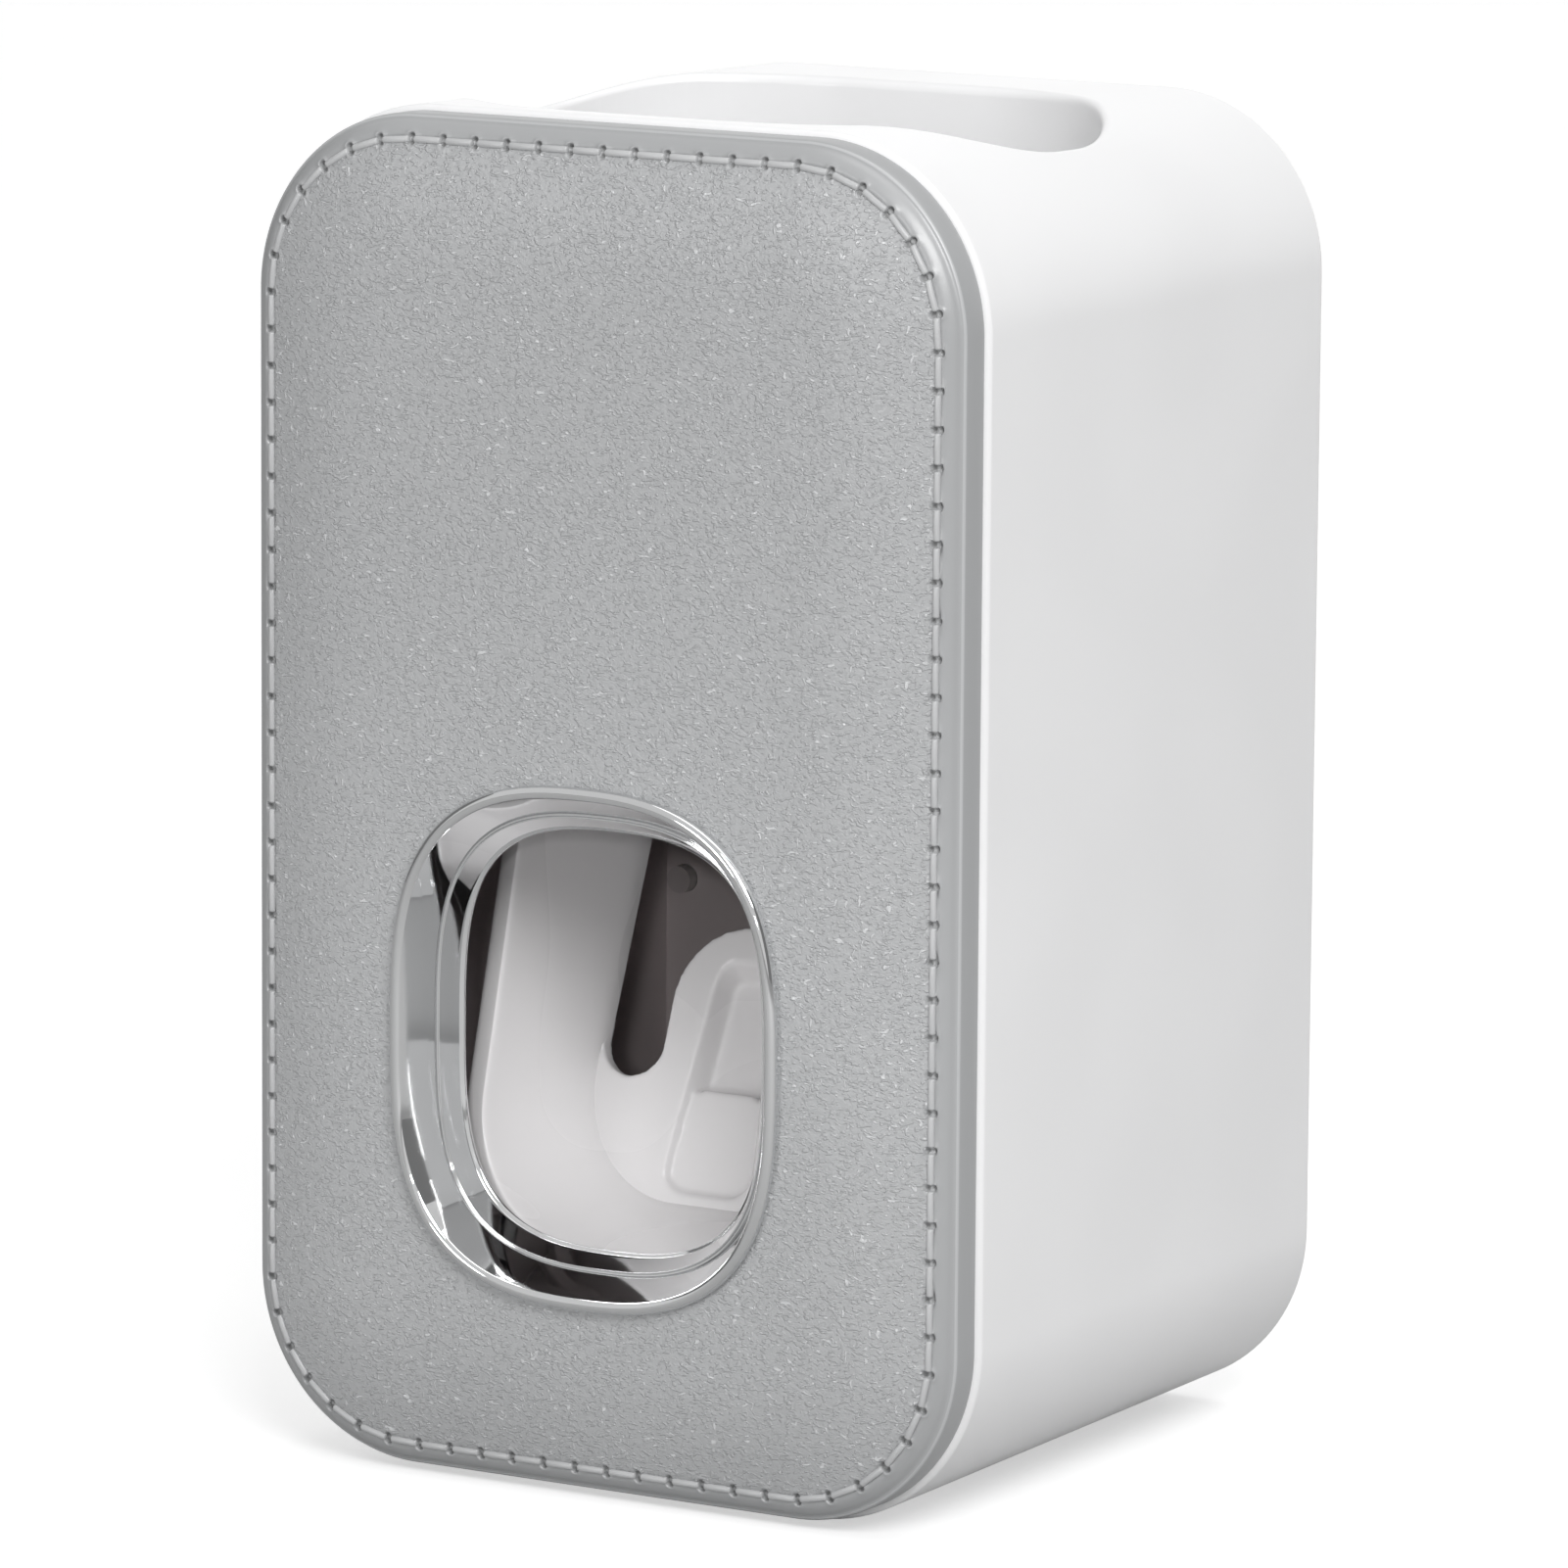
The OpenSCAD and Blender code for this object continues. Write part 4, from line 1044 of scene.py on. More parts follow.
# %% Model the back wall and the tongue
PLATE_T = 1.8 * MM
TONGUE_T = 4.2 * MM
SLOT_W = 6.2 * MM
SLOT_LOW = 12.4 * MM / math.cos(BACK_LEAN)
TONGUE_TOP = 25.8 * MM / math.cos(BACK_LEAN)
TONGUE_HALF = THROAT_HALF - SLOT_W
THROAT_LOW = THROAT_RISE / math.cos(BACK_LEAN)
RECESS_HALF = TONGUE_HALF - 2.4 * MM
RECESS_TOP = TONGUE_TOP - 3 * MM
RECESS_LOW = THROAT_LOW + 0.6 * MM
RECESS_DEPTH = 2.2 * MM
RECESS_TAPER = 1.5 * MM
OVERLAP = 0.8 * MM
CUT_END = 4 * MM
on_wall = (Matrix.Translation((0, FRONT + THROAT_DEPTH, SCOOP_FLOOR))
           @ Matrix.Rotation(-BACK_LEAN, 4, "X"))


def slab(name, half, low, high, radius, start, end, taper=0.0):
    """An upright rounded slab between two depths, its rear end drawn in by a taper."""
    middle_z = (low + high) / 2
    centre = Vector((0, end, middle_z))
    size = (half, (high - low) / 2)
    piece = rounded_plate(name, centre, size, radius, 20)
    choose(piece, "FACE", lambda f: True)
    extrude_chosen(lambda p: p + Vector((0, start - end, 0)))
    finish_edit()
    if taper:
        for vertex in piece.data.vertices:
            if abs(vertex.co.y - end) < 0.001 * MM:
                vertex.co += inwards(vertex.co.copy(), centre, size, radius)[0] * taper
    face_outwards(piece)
    return piece


def narrow_upwards(piece):
    """The recess and its block are wider at the foot of the tongue than at its top."""
    for vertex in piece.data.vertices:
        vertex.co.x *= 1.08 - 0.45 * (vertex.co.z - RECESS_LOW) / (RECESS_TOP - RECESS_LOW)

# %% [markdown]
# The wall is cut and joined from these slabs: two slots with round ends, a tongue between
# them, and a recess with a block in it, as the photograph shows.

# %% Build the back wall
def model_back_wall():
    wall = slab("back_wall", THROAT_HALF + OVERLAP, THROAT_LOW - OVERLAP, SLOT_LOW + 9.6 * MM,
                THROAT_R * 0.72, 0, PLATE_T)
    for side in (-1, 1):
        x = side * (THROAT_HALF - SLOT_W / 2)
        low = SLOT_LOW + SLOT_W / 2
        cut_with(wall, rod_piece("slot", (x, -MM, low), (x, CUT_END, low), SLOT_W / 2, sides=64))
        cut_with(wall, box_piece("slot_top", (x - SLOT_W / 2, -MM, low),
                                 (x + SLOT_W / 2, CUT_END, low + 9 * MM)))
    middle_cut = box_piece("middle_cut", (-TONGUE_HALF - 0.5 * MM, -MM, SLOT_LOW + 3 * MM),
                           (TONGUE_HALF + 0.5 * MM, CUT_END, SLOT_LOW + 12 * MM))
    cut_with(wall, middle_cut)
    tongue = slab("tongue", TONGUE_HALF, SLOT_LOW - 4 * MM, TONGUE_TOP, TONGUE_HALF - TINY, 0,
                  TONGUE_T)
    back = box_piece("tongue_root", (-RECESS_HALF - 1.2 * MM, 0.02 * MM, THROAT_LOW + 1.4 * MM),
                     (RECESS_HALF + 1.2 * MM, TONGUE_T, SLOT_LOW + MM))
    for piece in (tongue, back):
        cut_with(wall, piece, "UNION")
    recess = slab("recess", RECESS_HALF, RECESS_LOW, RECESS_TOP, RECESS_HALF * 0.6, -0.4 * MM,
                  RECESS_DEPTH, taper=RECESS_TAPER)
    narrow_upwards(recess)
    cut_with(wall, recess)
    block_half = RECESS_HALF - 0.9 * MM
    block = slab("block", block_half, THROAT_LOW - 0.5 * MM, SLOT_LOW - 0.4 * MM, 1.2 * MM, 0.75 * MM,
                 RECESS_DEPTH + MM)
    narrow_upwards(block)
    cut_with(wall, block, "UNION")
    wall.data.transform(on_wall)
    return wall


back_wall = model_back_wall()
print("Back wall faces:", len(back_wall.data.polygons))

# %% [markdown]
# Two arms carry the scoop up to its hubs, and a bar behind it works the pump. All these
# closed forms overlap. A voxel remesh welds them into one skin, as one moulding is, and a
# few passes of smoothing melt the inner corners into the small fillets that a mould gives.

# %% Weld the lever into one moulding
BAR_Z = 56.3 * MM
BAR_H = 5 * MM
BAR_T = 3 * MM
PUSHER_R = 5.5 * MM
PUSHER_OUT = 1.5 * MM
BORE_R = 1.55 * MM
HUB_R = 4.2 * MM
HUB_IN = THROAT_HALF + 0.2 * MM
HUB_OUT = 21.2 * MM
ARM_T = 3.4 * MM
VOXEL = 0.25 * MM


def model_arm(side):
    """A side arm: a plate drawn as an outline seen from the side, then given its thickness."""
    top = WALL_TOP - 6 * MM
    front = rim_depth(WALL_TOP) + 4.5 * MM
    outline = [(front, top), (throat_depth(top), top), (throat_depth(WALL_TOP) - 0.5 * MM, WALL_TOP),
               (PIVOT_Y + 0.8 * HUB_R, PIVOT_Z), (PIVOT_Y - 0.8 * HUB_R, PIVOT_Z), (front, WALL_TOP)]
    deselect()
    bpy.ops.mesh.primitive_circle_add(vertices=len(outline), radius=MM, fill_type="NGON")
    arm = bpy.context.object
    for vertex, (y, z) in zip(arm.data.vertices, outline):
        vertex.co = Vector((side * HUB_IN, y, z))
    thicken(arm, lambda p: p + Vector((side * ARM_T, 0, 0)))
    return arm

# %% [markdown]
# All parts overlap a little, so the remesh finds one closed skin. The bores for the pins
# are cut afterwards, so that they stay crisp.

# %% Weld the parts
def weld_lever():
    bar_back = throat_depth(BAR_Z) + 1.5 * MM
    bar_end = THROAT_HALF + OVERLAP
    parts = [back_wall,
             box_piece("bar", (-bar_end, bar_back - BAR_T, BAR_Z - BAR_H / 2),
                       (bar_end, bar_back, BAR_Z + BAR_H / 2)),
             rod_piece("pusher", (0, bar_back - MM, BAR_Z), (0, bar_back + PUSHER_OUT, BAR_Z), PUSHER_R)]
    for side in (-1, 1):
        parts.append(model_arm(side))
        parts.append(rod_piece("hub", (side * HUB_IN, PIVOT_Y, PIVOT_Z),
                               (side * HUB_OUT, PIVOT_Y, PIVOT_Z), HUB_R))
    lever = join(parts, "scoop_lever")
    apply_modifier(lever, "REMESH", mode="VOXEL", voxel_size=VOXEL, use_smooth_shade=True)
    apply_modifier(lever, "SMOOTH", factor=0.5, iterations=6)
    apply_modifier(lever, "DECIMATE", ratio=0.5)
    for side in (-1, 1):
        bore = rod_piece("bore", (side * (HUB_IN + MM), PIVOT_Y, PIVOT_Z),
                         (side * (HUB_OUT + MM), PIVOT_Y, PIVOT_Z), BORE_R, sides=32)
        cut_with(lever, bore)
    return join([lever, scoop], "scoop_lever")


lever = weld_lever()
soften(lever, angle=45, weighted=False)
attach(lever, "lever")
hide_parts("push_lever")
print("Lever faces:", len(lever.data.polygons))

# %% [markdown]
# Behind the lever sits the pump's rubber dome. The lever's pusher flattens it, and it
# springs back. A disc is inset and then extruded in small steps along a quarter ellipse.

# %% Model the rubber dome
DOME_R = 8 * MM
DOME_BASE = 10.1 * MM
DOME_STEPS = 14


def model_dome():
    low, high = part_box("pump_dome")
    centre = Vector((0, high.y, (low.z + high.z) / 2))
    deselect()
    bpy.ops.mesh.primitive_circle_add(vertices=64, radius=(high.x - low.x) / 2, fill_type="NGON",
                                      location=centre, rotation=(math.pi / 2, 0, 0))
    dome = bpy.context.object
    dome.name = "rubber_dome"
    settle()
    choose(dome, "FACE", lambda f: True)
    extrude_chosen(lambda p: Vector((p.x, DOME_BASE, p.z)))
    bpy.ops.mesh.inset(thickness=(high.x - low.x) / 2 - DOME_R, depth=0)
    for step in range(1, DOME_STEPS + 1):
        angle = math.pi / 2 * step / (DOME_STEPS + 1)
        before = math.cos(math.pi / 2 * (step - 1) / (DOME_STEPS + 1))
        out = DOME_BASE - (DOME_BASE - low.y) * math.sin(angle)
        extrude_chosen(lambda p: centre + Vector((
            (p.x - centre.x) * math.cos(angle) / before, out - centre.y,
            (p.z - centre.z) * math.cos(angle) / before)))
    finish_edit()
    face_outwards(dome)
    apply_modifier(dome, "BEVEL", width=0.25 * MM, segments=2, limit_method="ANGLE")
    return dome, centre


dome, dome_anchor = model_dome()
soften(dome)
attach(dome, "housing")
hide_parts("pump_dome")
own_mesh(dome)
print("Dome faces:", len(dome.data.polygons))

# %% [markdown]
# The wall bracket is a plain moulded plate with two pairs of side tabs. Bevelled edges
# make it read as a moulding. The four screws behind the shell share one model: a low domed
# head with a cross recess.

# %% Model the bracket and the screws
TAB_H = 8 * MM
TAB_T = 1.4 * MM
PLATE_HALF = 20 * MM
CROSS = (1.3 * MM, 0.3 * MM)


def model_bracket():
    plate = box_piece("bracket_plate", (-PLATE_HALF, bracket_low.y, bracket_low.z),
                      (PLATE_HALF, bracket_high.y, bracket_high.z), bevel=0.5 * MM)
    parts = [plate]
    for side in (-1, 1):
        for low in (bracket_high.z - TAB_H, bracket_low.z):
            ends = sorted((side * (PLATE_HALF - 1.5 * MM), side * bracket_high.x))
            parts.append(box_piece("tab", (ends[0], bracket_low.y, low),
                                   (ends[1], bracket_low.y + TAB_T, low + TAB_H), bevel=0.3 * MM))
    return join(parts, "bracket_moulding")

# %% [markdown]
# A screw starts as a rod whose end is inset twice, domed, and cut by two thin crossed boxes.
# The other three are copies, each turned a little, as screws are in real life.

# %% Model the screws
def model_screw():
    rear = screws_high.y
    screw = rod_piece("screw", (0, rear - HEAD_T, 0), (0, rear, 0), HEAD_R, sides=40)
    choose(screw, "FACE", lambda f: f.normal.y > 0.9)
    bpy.ops.mesh.inset(thickness=0.35 * MM, depth=0)
    bpy.ops.mesh.inset(thickness=0.7 * MM, depth=0)
    finish_edit()
    for vertex in screw.data.vertices:
        reach = vertex.co.xz.length
        if vertex.co.y > rear - 0.1 * MM:
            vertex.co.y -= 0.35 * MM * (reach / HEAD_R) ** 4
    for size in (CROSS, CROSS[::-1]):
        slot = box_piece("cross", (-size[0], rear - 0.8 * MM, -size[1]), (size[0], rear + MM, size[1]))
        cut_with(screw, slot)
    shank = rod_piece("shank", (0, screws_low.y, 0), (0, rear - HEAD_T, 0), 1.25 * MM, sides=24)
    return join([screw, shank], "screw")


def place_screws():
    first = model_screw()
    screws = []
    for index, (x, z) in enumerate(screw_places):
        copy = own_copy(first)
        copy.data.transform(Matrix.Translation((x, 0, z)) @ Matrix.Rotation(0.4 * index, 4, "Y"))
        screws.append(copy)
    bpy.data.objects.remove(first)
    return join(screws, "back_screws")


bracket = model_bracket()
soften(bracket)
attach(bracket, "bracket")
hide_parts("wall_bracket")
screws = place_screws()
soften(screws, angle=30)
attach(screws, "housing")
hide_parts("chassis_screws")

# %% [markdown]
# Finishes. Two effects are used by more than one material, so each is a node group with
# named inputs. The first is the skin of moulded plastic: a very shallow waviness and a
# small change in gloss. Small helpers add a Map Range node and a noise that can be
# stretched and turned.

# %% Helpers for node groups
def new_group(name, inputs, outputs):
    group = bpy.data.node_groups.new(name, "ShaderNodeTree")
    for label, value in inputs:
        socket = group.interface.new_socket(label, in_out="INPUT", socket_type="NodeSocketFloat")
        socket.default_value = value
    for label in outputs:
        group.interface.new_socket(label, in_out="OUTPUT", socket_type="NodeSocketFloat")
    return group, group.nodes.new("NodeGroupInput"), group.nodes.new("NodeGroupOutput")


def between(tree, value, low, high, to_low=0.0, to_high=1.0):
    node = tree.nodes.new("ShaderNodeMapRange")
    node.interpolation_type = "SMOOTHSTEP"
    for label, item in (("Value", value), ("From Min", low), ("From Max", high),
                        ("To Min", to_low), ("To Max", to_high)):
        if isinstance(item, (int, float)):
            node.inputs[label].default_value = item
        else:
            tree.links.new(item, node.inputs[label])
    return node.outputs["Result"]


def noise(tree, place, scale, detail=2.0, stretch=(1, 1, 1), turn=(0, 0, 0)):
    mapping = tree.nodes.new("ShaderNodeMapping")
    mapping.inputs["Scale"].default_value = stretch
    mapping.inputs["Rotation"].default_value = turn
    tree.links.new(place, mapping.inputs["Vector"])
    node = tree.nodes.new("ShaderNodeTexNoise")
    node.inputs["Scale"].default_value = scale
    node.inputs["Detail"].default_value = detail
    tree.links.new(mapping.outputs[0], node.inputs["Vector"])
    return node.outputs["Fac"]

# %% [markdown]
# The skin of moulded plastic. One broad noise changes tone and gloss very slowly, and a fine
# one adds a texture only where a finish asks for waviness.

# %% Build the plastic skin
def plastic_skin_group():
    group, given, result = new_group("plastic_skin", [("Gloss Low", 0.2), ("Gloss High", 0.3), ("Wave", 1.0)],
                                     ("Roughness", "Height", "Shade"))
    place = group.nodes.new("ShaderNodeTexCoord").outputs["Object"]
    broad = noise(group, place, 60, 0)
    fine = noise(group, place, 900, 1)
    rough = between(group, broad, 0.35, 0.65, given.outputs["Gloss Low"], given.outputs["Gloss High"])
    fine = calc(group, "MULTIPLY", calc(group, "SUBTRACT", fine, 0.5), given.outputs["Wave"])
    rough = calc(group, "ADD", rough, calc(group, "MULTIPLY", fine, 0.05))
    height = calc(group, "MULTIPLY", calc(group, "MULTIPLY", broad, 2.0), given.outputs["Wave"])
    height = calc(group, "ADD", height, calc(group, "MULTIPLY", fine, 0.25))
    group.links.new(rough, result.inputs["Roughness"])
    group.links.new(height, result.inputs["Height"])
    group.links.new(between(group, broad, 0.3, 0.7), result.inputs["Shade"])
    return group


plastic_skin = plastic_skin_group()
print("Nodes in the plastic skin:", len(plastic_skin.nodes))

# %% [markdown]
# The second group is leather grain: fine pebbles, thin broken creases, soft ridges and a few raised dashes,
# all at the scale of a tenth of a millimetre to one millimetre. The dashes are also painted lighter, as
# painted glints, and the creases are painted darker, as painted shade. A wandering noise bends every pattern
# a little, so that no line runs straight.

# %% Build the leather grain
WANDER = 0.7 * MM


def leather_grain_group():
    group, given, result = new_group("leather_grain", [("Crease", 1.0), ("Pebble", 1.0), ("Glint", 1.0)],
                                     ("Height", "Shade", "Roughness"))
    place = group.nodes.new("ShaderNodeTexCoord").outputs["Object"]
    wander = group.nodes.new("ShaderNodeTexNoise")
    wander.inputs["Scale"].default_value = 600
    wander.inputs["Detail"].default_value = 3
    group.links.new(place, wander.inputs["Vector"])
    shift = group.nodes.new("ShaderNodeVectorMath")
    shift.operation = "MULTIPLY_ADD"
    shift.inputs[1].default_value = (WANDER, WANDER, WANDER)
    group.links.new(wander.outputs["Color"], shift.inputs[0])
    group.links.new(place, shift.inputs[2])
    bent = shift.outputs[0]

    def wrinkle(scale, stretch, turn, low, high):
        """Thin lines where a noise crosses its middle value."""
        value = noise(group, bent, scale, 1, stretch=stretch, turn=turn)
        off_middle = calc(group, "ABSOLUTE", calc(group, "SUBTRACT", value, 0.5))
        return between(group, off_middle, low, high, 1.0, 0.0)

    here = between(group, noise(group, place, 300, 2), 0.32, 0.5)
    crease_and_shade = calc(group, "MULTIPLY", wrinkle(900, (1, 1, 1.3), (0, 0.3, 0), 0.0, 0.06), here)
    fine_crease = wrinkle(1900, (1, 1, 1.2), (0, 0.8, 0), 0.0, 0.08)
    crease_and_shade = calc(group, "MAXIMUM", crease_and_shade, calc(group, "MULTIPLY", fine_crease, 0.5))
    crease_and_shade = calc(group, "MULTIPLY", crease_and_shade, given.outputs["Crease"])
    pebble = calc(group, "MULTIPLY", noise(group, bent, 2600, 3), given.outputs["Pebble"])
    streak = noise(group, bent, 1500, 1, stretch=(1.0, 1.0, 2.0), turn=(0, 0.45, 0))
    streak_2 = noise(group, bent, 1900, 1, stretch=(1.0, 1.0, 1.8), turn=(0, -0.5, 0))
    ridge = calc(group, "MAXIMUM", between(group, streak, 0.57, 0.68), between(group, streak_2, 0.58, 0.69))
    ridge = calc(group, "MULTIPLY", ridge, given.outputs["Glint"])
    dash = noise(group, bent, 1250, 1, stretch=(1.0, 1.0, 2.3), turn=(0, 0.6, 0))
    dash_2 = noise(group, bent, 1300, 1, stretch=(2.0, 1.0, 1.0), turn=(0, 0.35, 0))
    painted_glint_dash = calc(group, "MAXIMUM", between(group, dash, 0.66, 0.74), between(group, dash_2, 0.68, 0.76))
    painted_glint_dash = calc(group, "MULTIPLY", painted_glint_dash, given.outputs["Glint"])
    raised = calc(group, "ADD", pebble, calc(group, "MAXIMUM", ridge, painted_glint_dash))
    height = calc(group, "SUBTRACT", raised, crease_and_shade)
    # Painted shade and painted glints: the creases darken the colour, and the dashes lighten it.
    shade = calc(group, "ADD", calc(group, "MULTIPLY", noise(group, place, 55, 1), 0.1),
                 calc(group, "SUBTRACT", 0.17, calc(group, "MULTIPLY", crease_and_shade, 0.14)))
    shade = calc(group, "ADD", shade, calc(group, "MULTIPLY", painted_glint_dash, 0.75))
    shade = calc(group, "MINIMUM", calc(group, "MAXIMUM", shade, 0.0), 1.0)
    group.links.new(height, result.inputs["Height"])
    group.links.new(shade, result.inputs["Shade"])
    group.links.new(between(group, painted_glint_dash, 0.0, 1.0, 0.37, 0.2), result.inputs["Roughness"])
    return group


leather_grain = leather_grain_group()
print("Nodes in the leather grain:", len(leather_grain.nodes))

# %% [markdown]
# Each finish is a Principled shader fed by one of those groups. The colour runs between two
# close tones, the gloss varies a little, and a bump node turns the group's height into
# relief. What is the same all over, such as a coat or the reflectivity, is set on the
# shader's own socket.

# %% Helpers for the finishes
def start_material(name):
    material = bpy.data.materials.new(name)
    material.use_nodes = True
    tree = material.node_tree
    return material, tree, tree.nodes["Principled BSDF"]


def tone(tree, factor, dark, light):
    node = tree.nodes.new("ShaderNodeMix")
    node.data_type = "RGBA"
    node.inputs["A"].default_value = (*dark, 1)
    node.inputs["B"].default_value = (*light, 1)
    tree.links.new(factor, node.inputs["Factor"])
    return node.outputs["Result"]


def relief(tree, height, shader, strength, distance):
    bump = tree.nodes.new("ShaderNodeBump")
    bump.inputs["Strength"].default_value = strength
    bump.inputs["Distance"].default_value = distance
    tree.links.new(height, bump.inputs["Height"])
    tree.links.new(bump.outputs["Normal"], shader.inputs["Normal"])


def plastic(name, dark, light, gloss, wave=1.0, coat=0.0, bump=0.02, **sockets):
    material, tree, shader = start_material(name)
    skin = tree.nodes.new("ShaderNodeGroup")
    skin.node_tree = plastic_skin
    skin.inputs["Gloss Low"].default_value = gloss[0]
    skin.inputs["Gloss High"].default_value = gloss[1]
    skin.inputs["Wave"].default_value = wave
    tree.links.new(tone(tree, skin.outputs["Shade"], dark, light), shader.inputs["Base Color"])
    tree.links.new(skin.outputs["Roughness"], shader.inputs["Roughness"])
    relief(tree, skin.outputs["Height"], shader, 0.35, bump * MM)
    shader.inputs["Coat Weight"].default_value = coat
    shader.inputs["Coat Roughness"].default_value = 0.12
    for label, value in sockets.items():
        shader.inputs[label.replace("_", " ")].default_value = value
    return material


def leather(name, dark, light, crease_and_shade, pebble, glint):
    material, tree, shader = start_material(name)
    grain = tree.nodes.new("ShaderNodeGroup")
    grain.node_tree = leather_grain
    for label, value in (("Crease", crease_and_shade), ("Pebble", pebble), ("Glint", glint)):
        grain.inputs[label].default_value = value
    tree.links.new(tone(tree, grain.outputs["Shade"], dark, light), shader.inputs["Base Color"])
    tree.links.new(grain.outputs["Roughness"], shader.inputs["Roughness"])
    relief(tree, grain.outputs["Height"], shader, 1.0, 0.062 * MM)
    shader.inputs["Specular IOR Level"].default_value = 0.9
    return material

# %% [markdown]
# The list of finishes. Two tones that lie close together, a range of gloss and a waviness describe each
# plastic; the leather has creases with painted shade, pebbles, and dashes with painted glints.

# %% List the finishes
finishes = {
    "shell_plastic": plastic("white_shell", (0.82, 0.82, 0.825), (0.835, 0.835, 0.84), (0.3, 0.34), 0.0),
    "panel_grain": leather("grey_leather", (0.328, 0.333, 0.339), (0.59, 0.598, 0.606), 0.35, 0.8, 1.0),
    "border": leather("grey_border", (0.33, 0.335, 0.34), (0.37, 0.376, 0.382), 0.0, 0.12, 0.0),
    # Painted highlight: the fine ridge near the panel's edge is painted lighter than the border.
    "ridge": leather("grey_ridge_highlight", (0.42, 0.426, 0.432), (0.46, 0.466, 0.472), 0.0, 0.1, 0.0),
    # Painted shade: the bottoms of the needle holes get a darker grey.
    "hole": plastic("seam_shadow", (0.28, 0.283, 0.285), (0.32, 0.323, 0.325), (0.5, 0.6)),
    # Painted highlight: the moulded thread is painted lighter than the leather, for the sheen on its round
    # top.
    "thread": plastic("seam_thread", (0.44, 0.445, 0.45), (0.48, 0.485, 0.49), (0.3, 0.4), 2.0),
    "bright_chrome": plastic("bright_plating", (0.72, 0.725, 0.73), (0.78, 0.785, 0.79), (0.03, 0.06), 0.5,
                             bump=0.01, Metallic=1.0),
    "lever_plastic": plastic("white_lever", (0.755, 0.743, 0.748), (0.765, 0.753, 0.758), (0.26, 0.28),
                             0.0),
    # The inner parts' grey-pink is partly their own colour and partly painted shade of the closed housing.
    "inner_plastic": plastic("inner_grey_with_shade", (0.56, 0.5, 0.5), (0.6, 0.54, 0.54), (0.6, 0.7), 1.5),
    "white_fitting": plastic("white_fitting", (0.74, 0.74, 0.735), (0.80, 0.80, 0.795), (0.36, 0.46), 1.5),
    "silicone": plastic("soft_silicone", (0.50, 0.51, 0.52), (0.58, 0.59, 0.6), (0.42, 0.55), 2.0),
    "steel": plastic("zinc_steel", (0.50, 0.50, 0.49), (0.62, 0.62, 0.61), (0.26, 0.4), 2.0, Metallic=1.0),
    "foam_tape": plastic("foam_tape", (0.15, 0.15, 0.16), (0.2, 0.2, 0.21), (0.8, 0.9), 6.0, bump=0.08),
}
# Painted shade: screws deep inside take a dull grey-pink close to the inner parts' instead of zinc.
finishes["inner_shade_steel"] = plastic("inner_shade_steel", (0.5, 0.45, 0.45), (0.54, 0.49, 0.49), (0.5, 0.6),
                                 Metallic=0.2)
# Painted light: a lighter copy of the shell's white for the deep well.
finishes["lit_white_well"] = plastic("lit_white_well", (0.88, 0.88, 0.885), (0.9, 0.9, 0.905), (0.4, 0.45), 0.0)

# %% [markdown]
# Every node of the frame gets the finish of its slot. Three nodes differ from their slot: the well gets a
# lighter copy of the white as painted light, and two sets of inner screws get the inner grey-pink as painted
# shade.

# %% Give every node its finish
slots = {part["node"]: part["material_slot"] for part in frame["record"]["subparts"]}
slots["tube_well"] = "lit_white_well"
slots["dome_ring_screws"] = "inner_shade_steel"
slots["pump_screws"] = "inner_shade_steel"
print("Finishes:", len(finishes), "for nodes:", len(slots))
for node_name, node in frame["nodes"].items():
    node.data.materials.clear()
    node.data.materials.append(finishes[slots[node_name]])
for piece, finish in ((shell, "shell_plastic"), (thread, "thread"), (bezel, "bright_chrome"),
                      (lever, "lever_plastic"), (dome, "silicone"), (bracket, "white_fitting"),
                      (screws, "steel")):
    piece.data.materials.clear()
    piece.data.materials.append(finishes[finish])

# %% [markdown]
# The panel has four finishes on one mesh. The grained middle begins inside the stitches, the border outside
# them is nearly smooth, the bottoms of the needle holes are painted darker as painted shade, and a fine ridge
# near the edge is painted lighter as a painted highlight. Each face takes its finish from how far in from the
# edge it lies and how deep it is sunk.

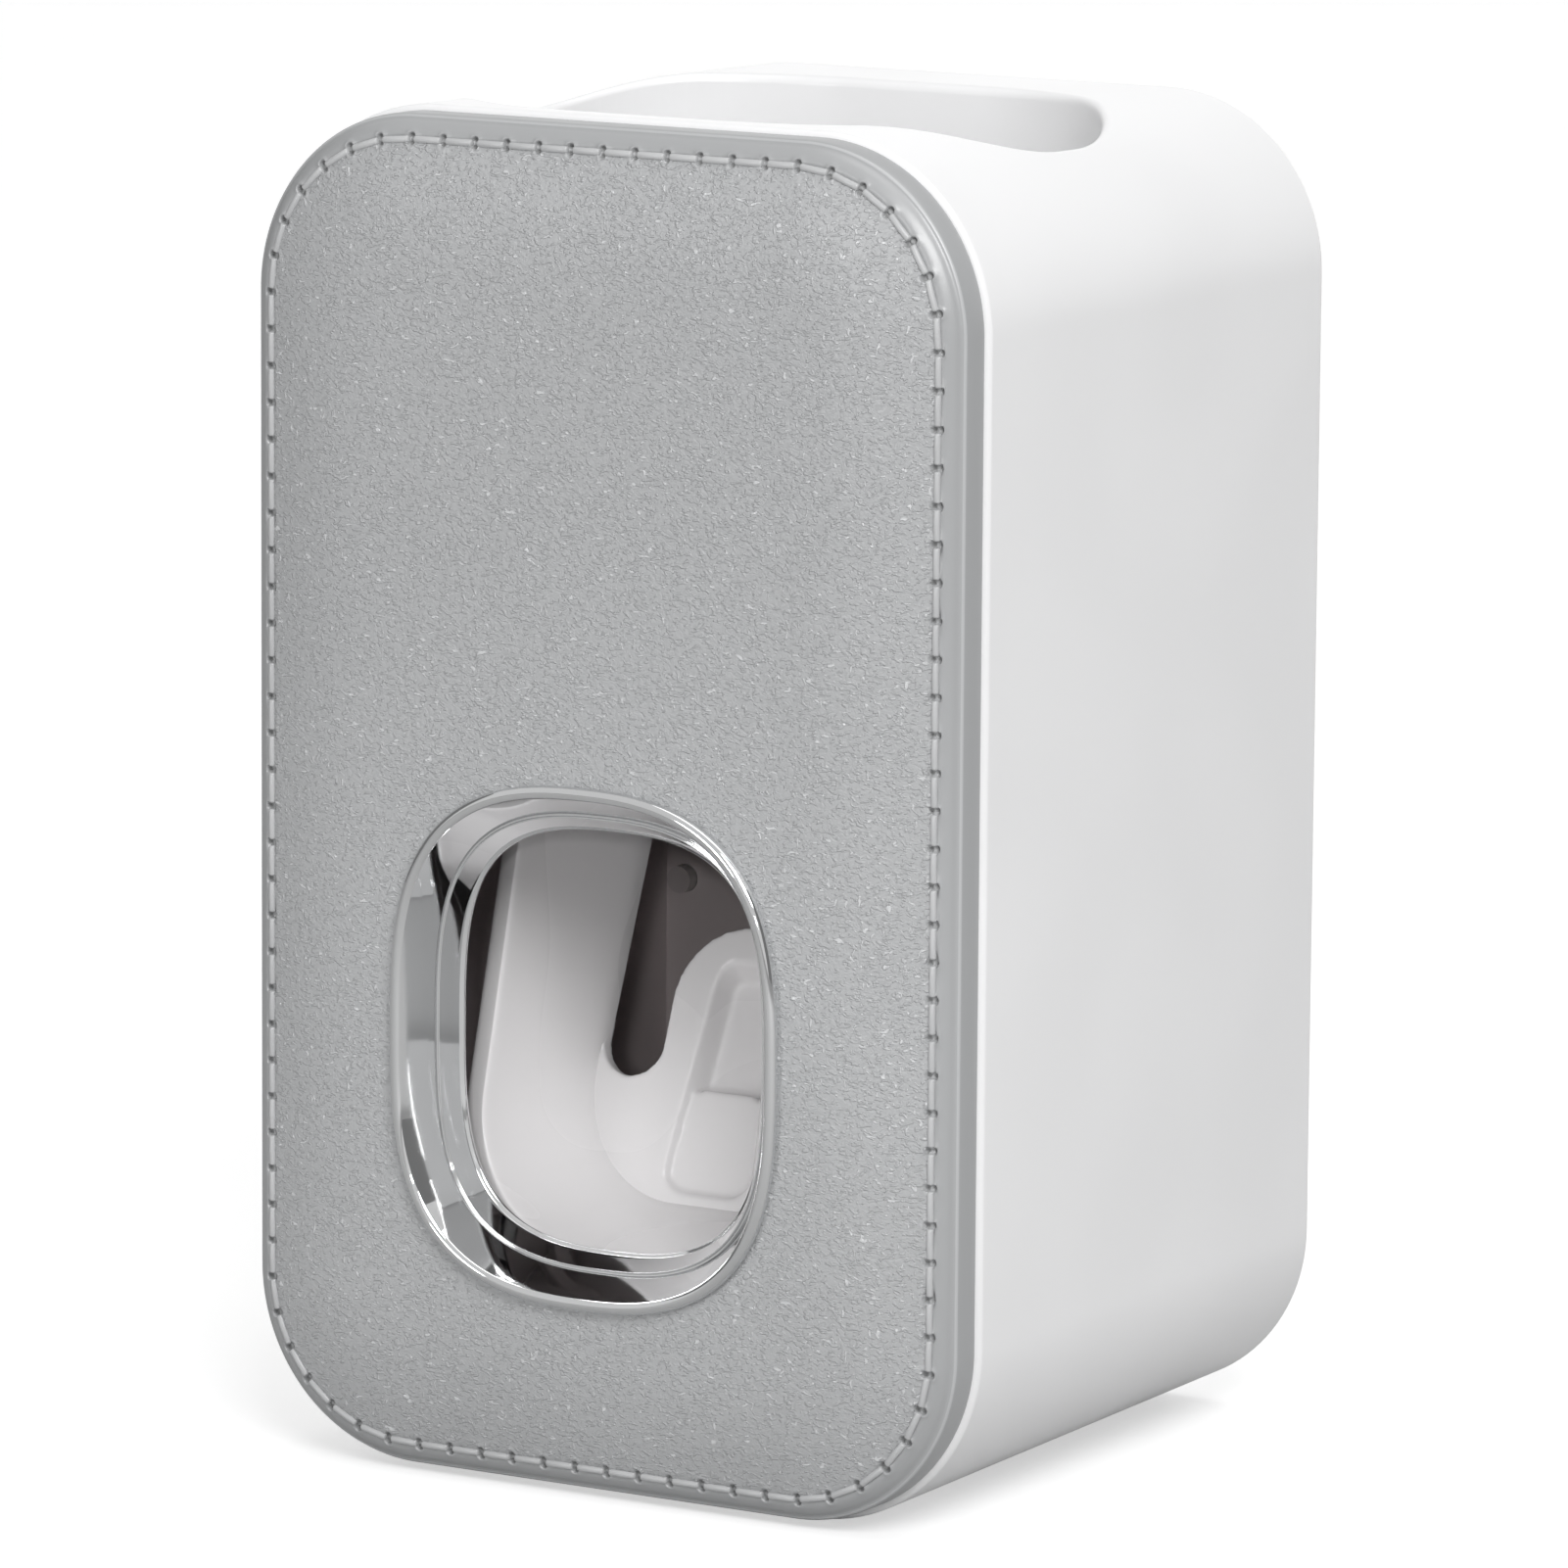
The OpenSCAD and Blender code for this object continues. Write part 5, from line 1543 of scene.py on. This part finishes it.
# %% Paint the panel's faces
def paint_panel():
    for name in ("panel_grain", "border", "hole", "ridge"):
        panel.data.materials.append(finishes[name])
    for face in panel.data.polygons:
        place = face.center
        way, core = inwards(place, panel_middle, half_panel, PANEL_R)
        inset = PANEL_R - (place - core).xz.length
        sunk = place.y - (FRONT - panel_rise(max(inset, 0)) + seam_dip(inset))
        # Painted shade: sunk faces round the stitch line take the darker grey of the hole bottoms.
        if abs(inset - STITCH_IN) < MM and sunk > 0.22 * MM and place.y < FRONT - 3 * MM:
            face.material_index = 2
        # Painted highlight on the ridge near the edge.
        elif 0.06 * MM < inset < 0.3 * MM:
            face.material_index = 3
        elif inset < STITCH_IN:
            face.material_index = 1
        else:
            face.material_index = 0


paint_panel()

# %% [markdown]
# The tips of the four back screws come out inside the dark chassis, where the window shows one of them. They
# get a dull grey-pink close to the inner parts' as painted shade, so they sink into the shade and only the
# heads keep the bright zinc.

# %% Blacken the screw tips
screws.data.materials.append(finishes["inner_shade_steel"])
for face in screws.data.polygons:
    if face.center.y < shell_high.y - BACK_WALL:
        face.material_index = 1

# %% [markdown]
# The floor is a wide pale plane that belongs to the studio and not to the object. To the camera it glows a
# little, so it fades into the white ground and keeps a soft shadow. To glossy rays it is painted darker, a
# painted reflection that makes the bezel's mirror show a dark floor.

# %% Lay the floor
deselect()
bpy.ops.mesh.primitive_plane_add(size=60, location=(0, 0, -0.0002))
floor = bpy.context.object
floor.name = "floor"
floor_material, floor_tree, floor_shader = start_material("pale_floor")
floor_seen = floor_tree.nodes.new("ShaderNodeLightPath")
# Painted reflection: glossy rays see a darker floor.
floor_tone = tone(floor_tree, floor_seen.outputs["Is Glossy Ray"], (0.64, 0.64, 0.64), (0.45, 0.45, 0.45))
floor_tree.links.new(floor_tone, floor_shader.inputs["Base Color"])
floor_shader.inputs["Roughness"].default_value = 0.8
floor_shader.inputs["Emission Color"].default_value = (1, 1, 1, 1)
floor_glow = calc(floor_tree, "MULTIPLY", floor_seen.outputs["Is Camera Ray"], 0.53)
floor_tree.links.new(floor_glow, floor_shader.inputs["Emission Strength"])
floor.data.materials.append(floor_material)
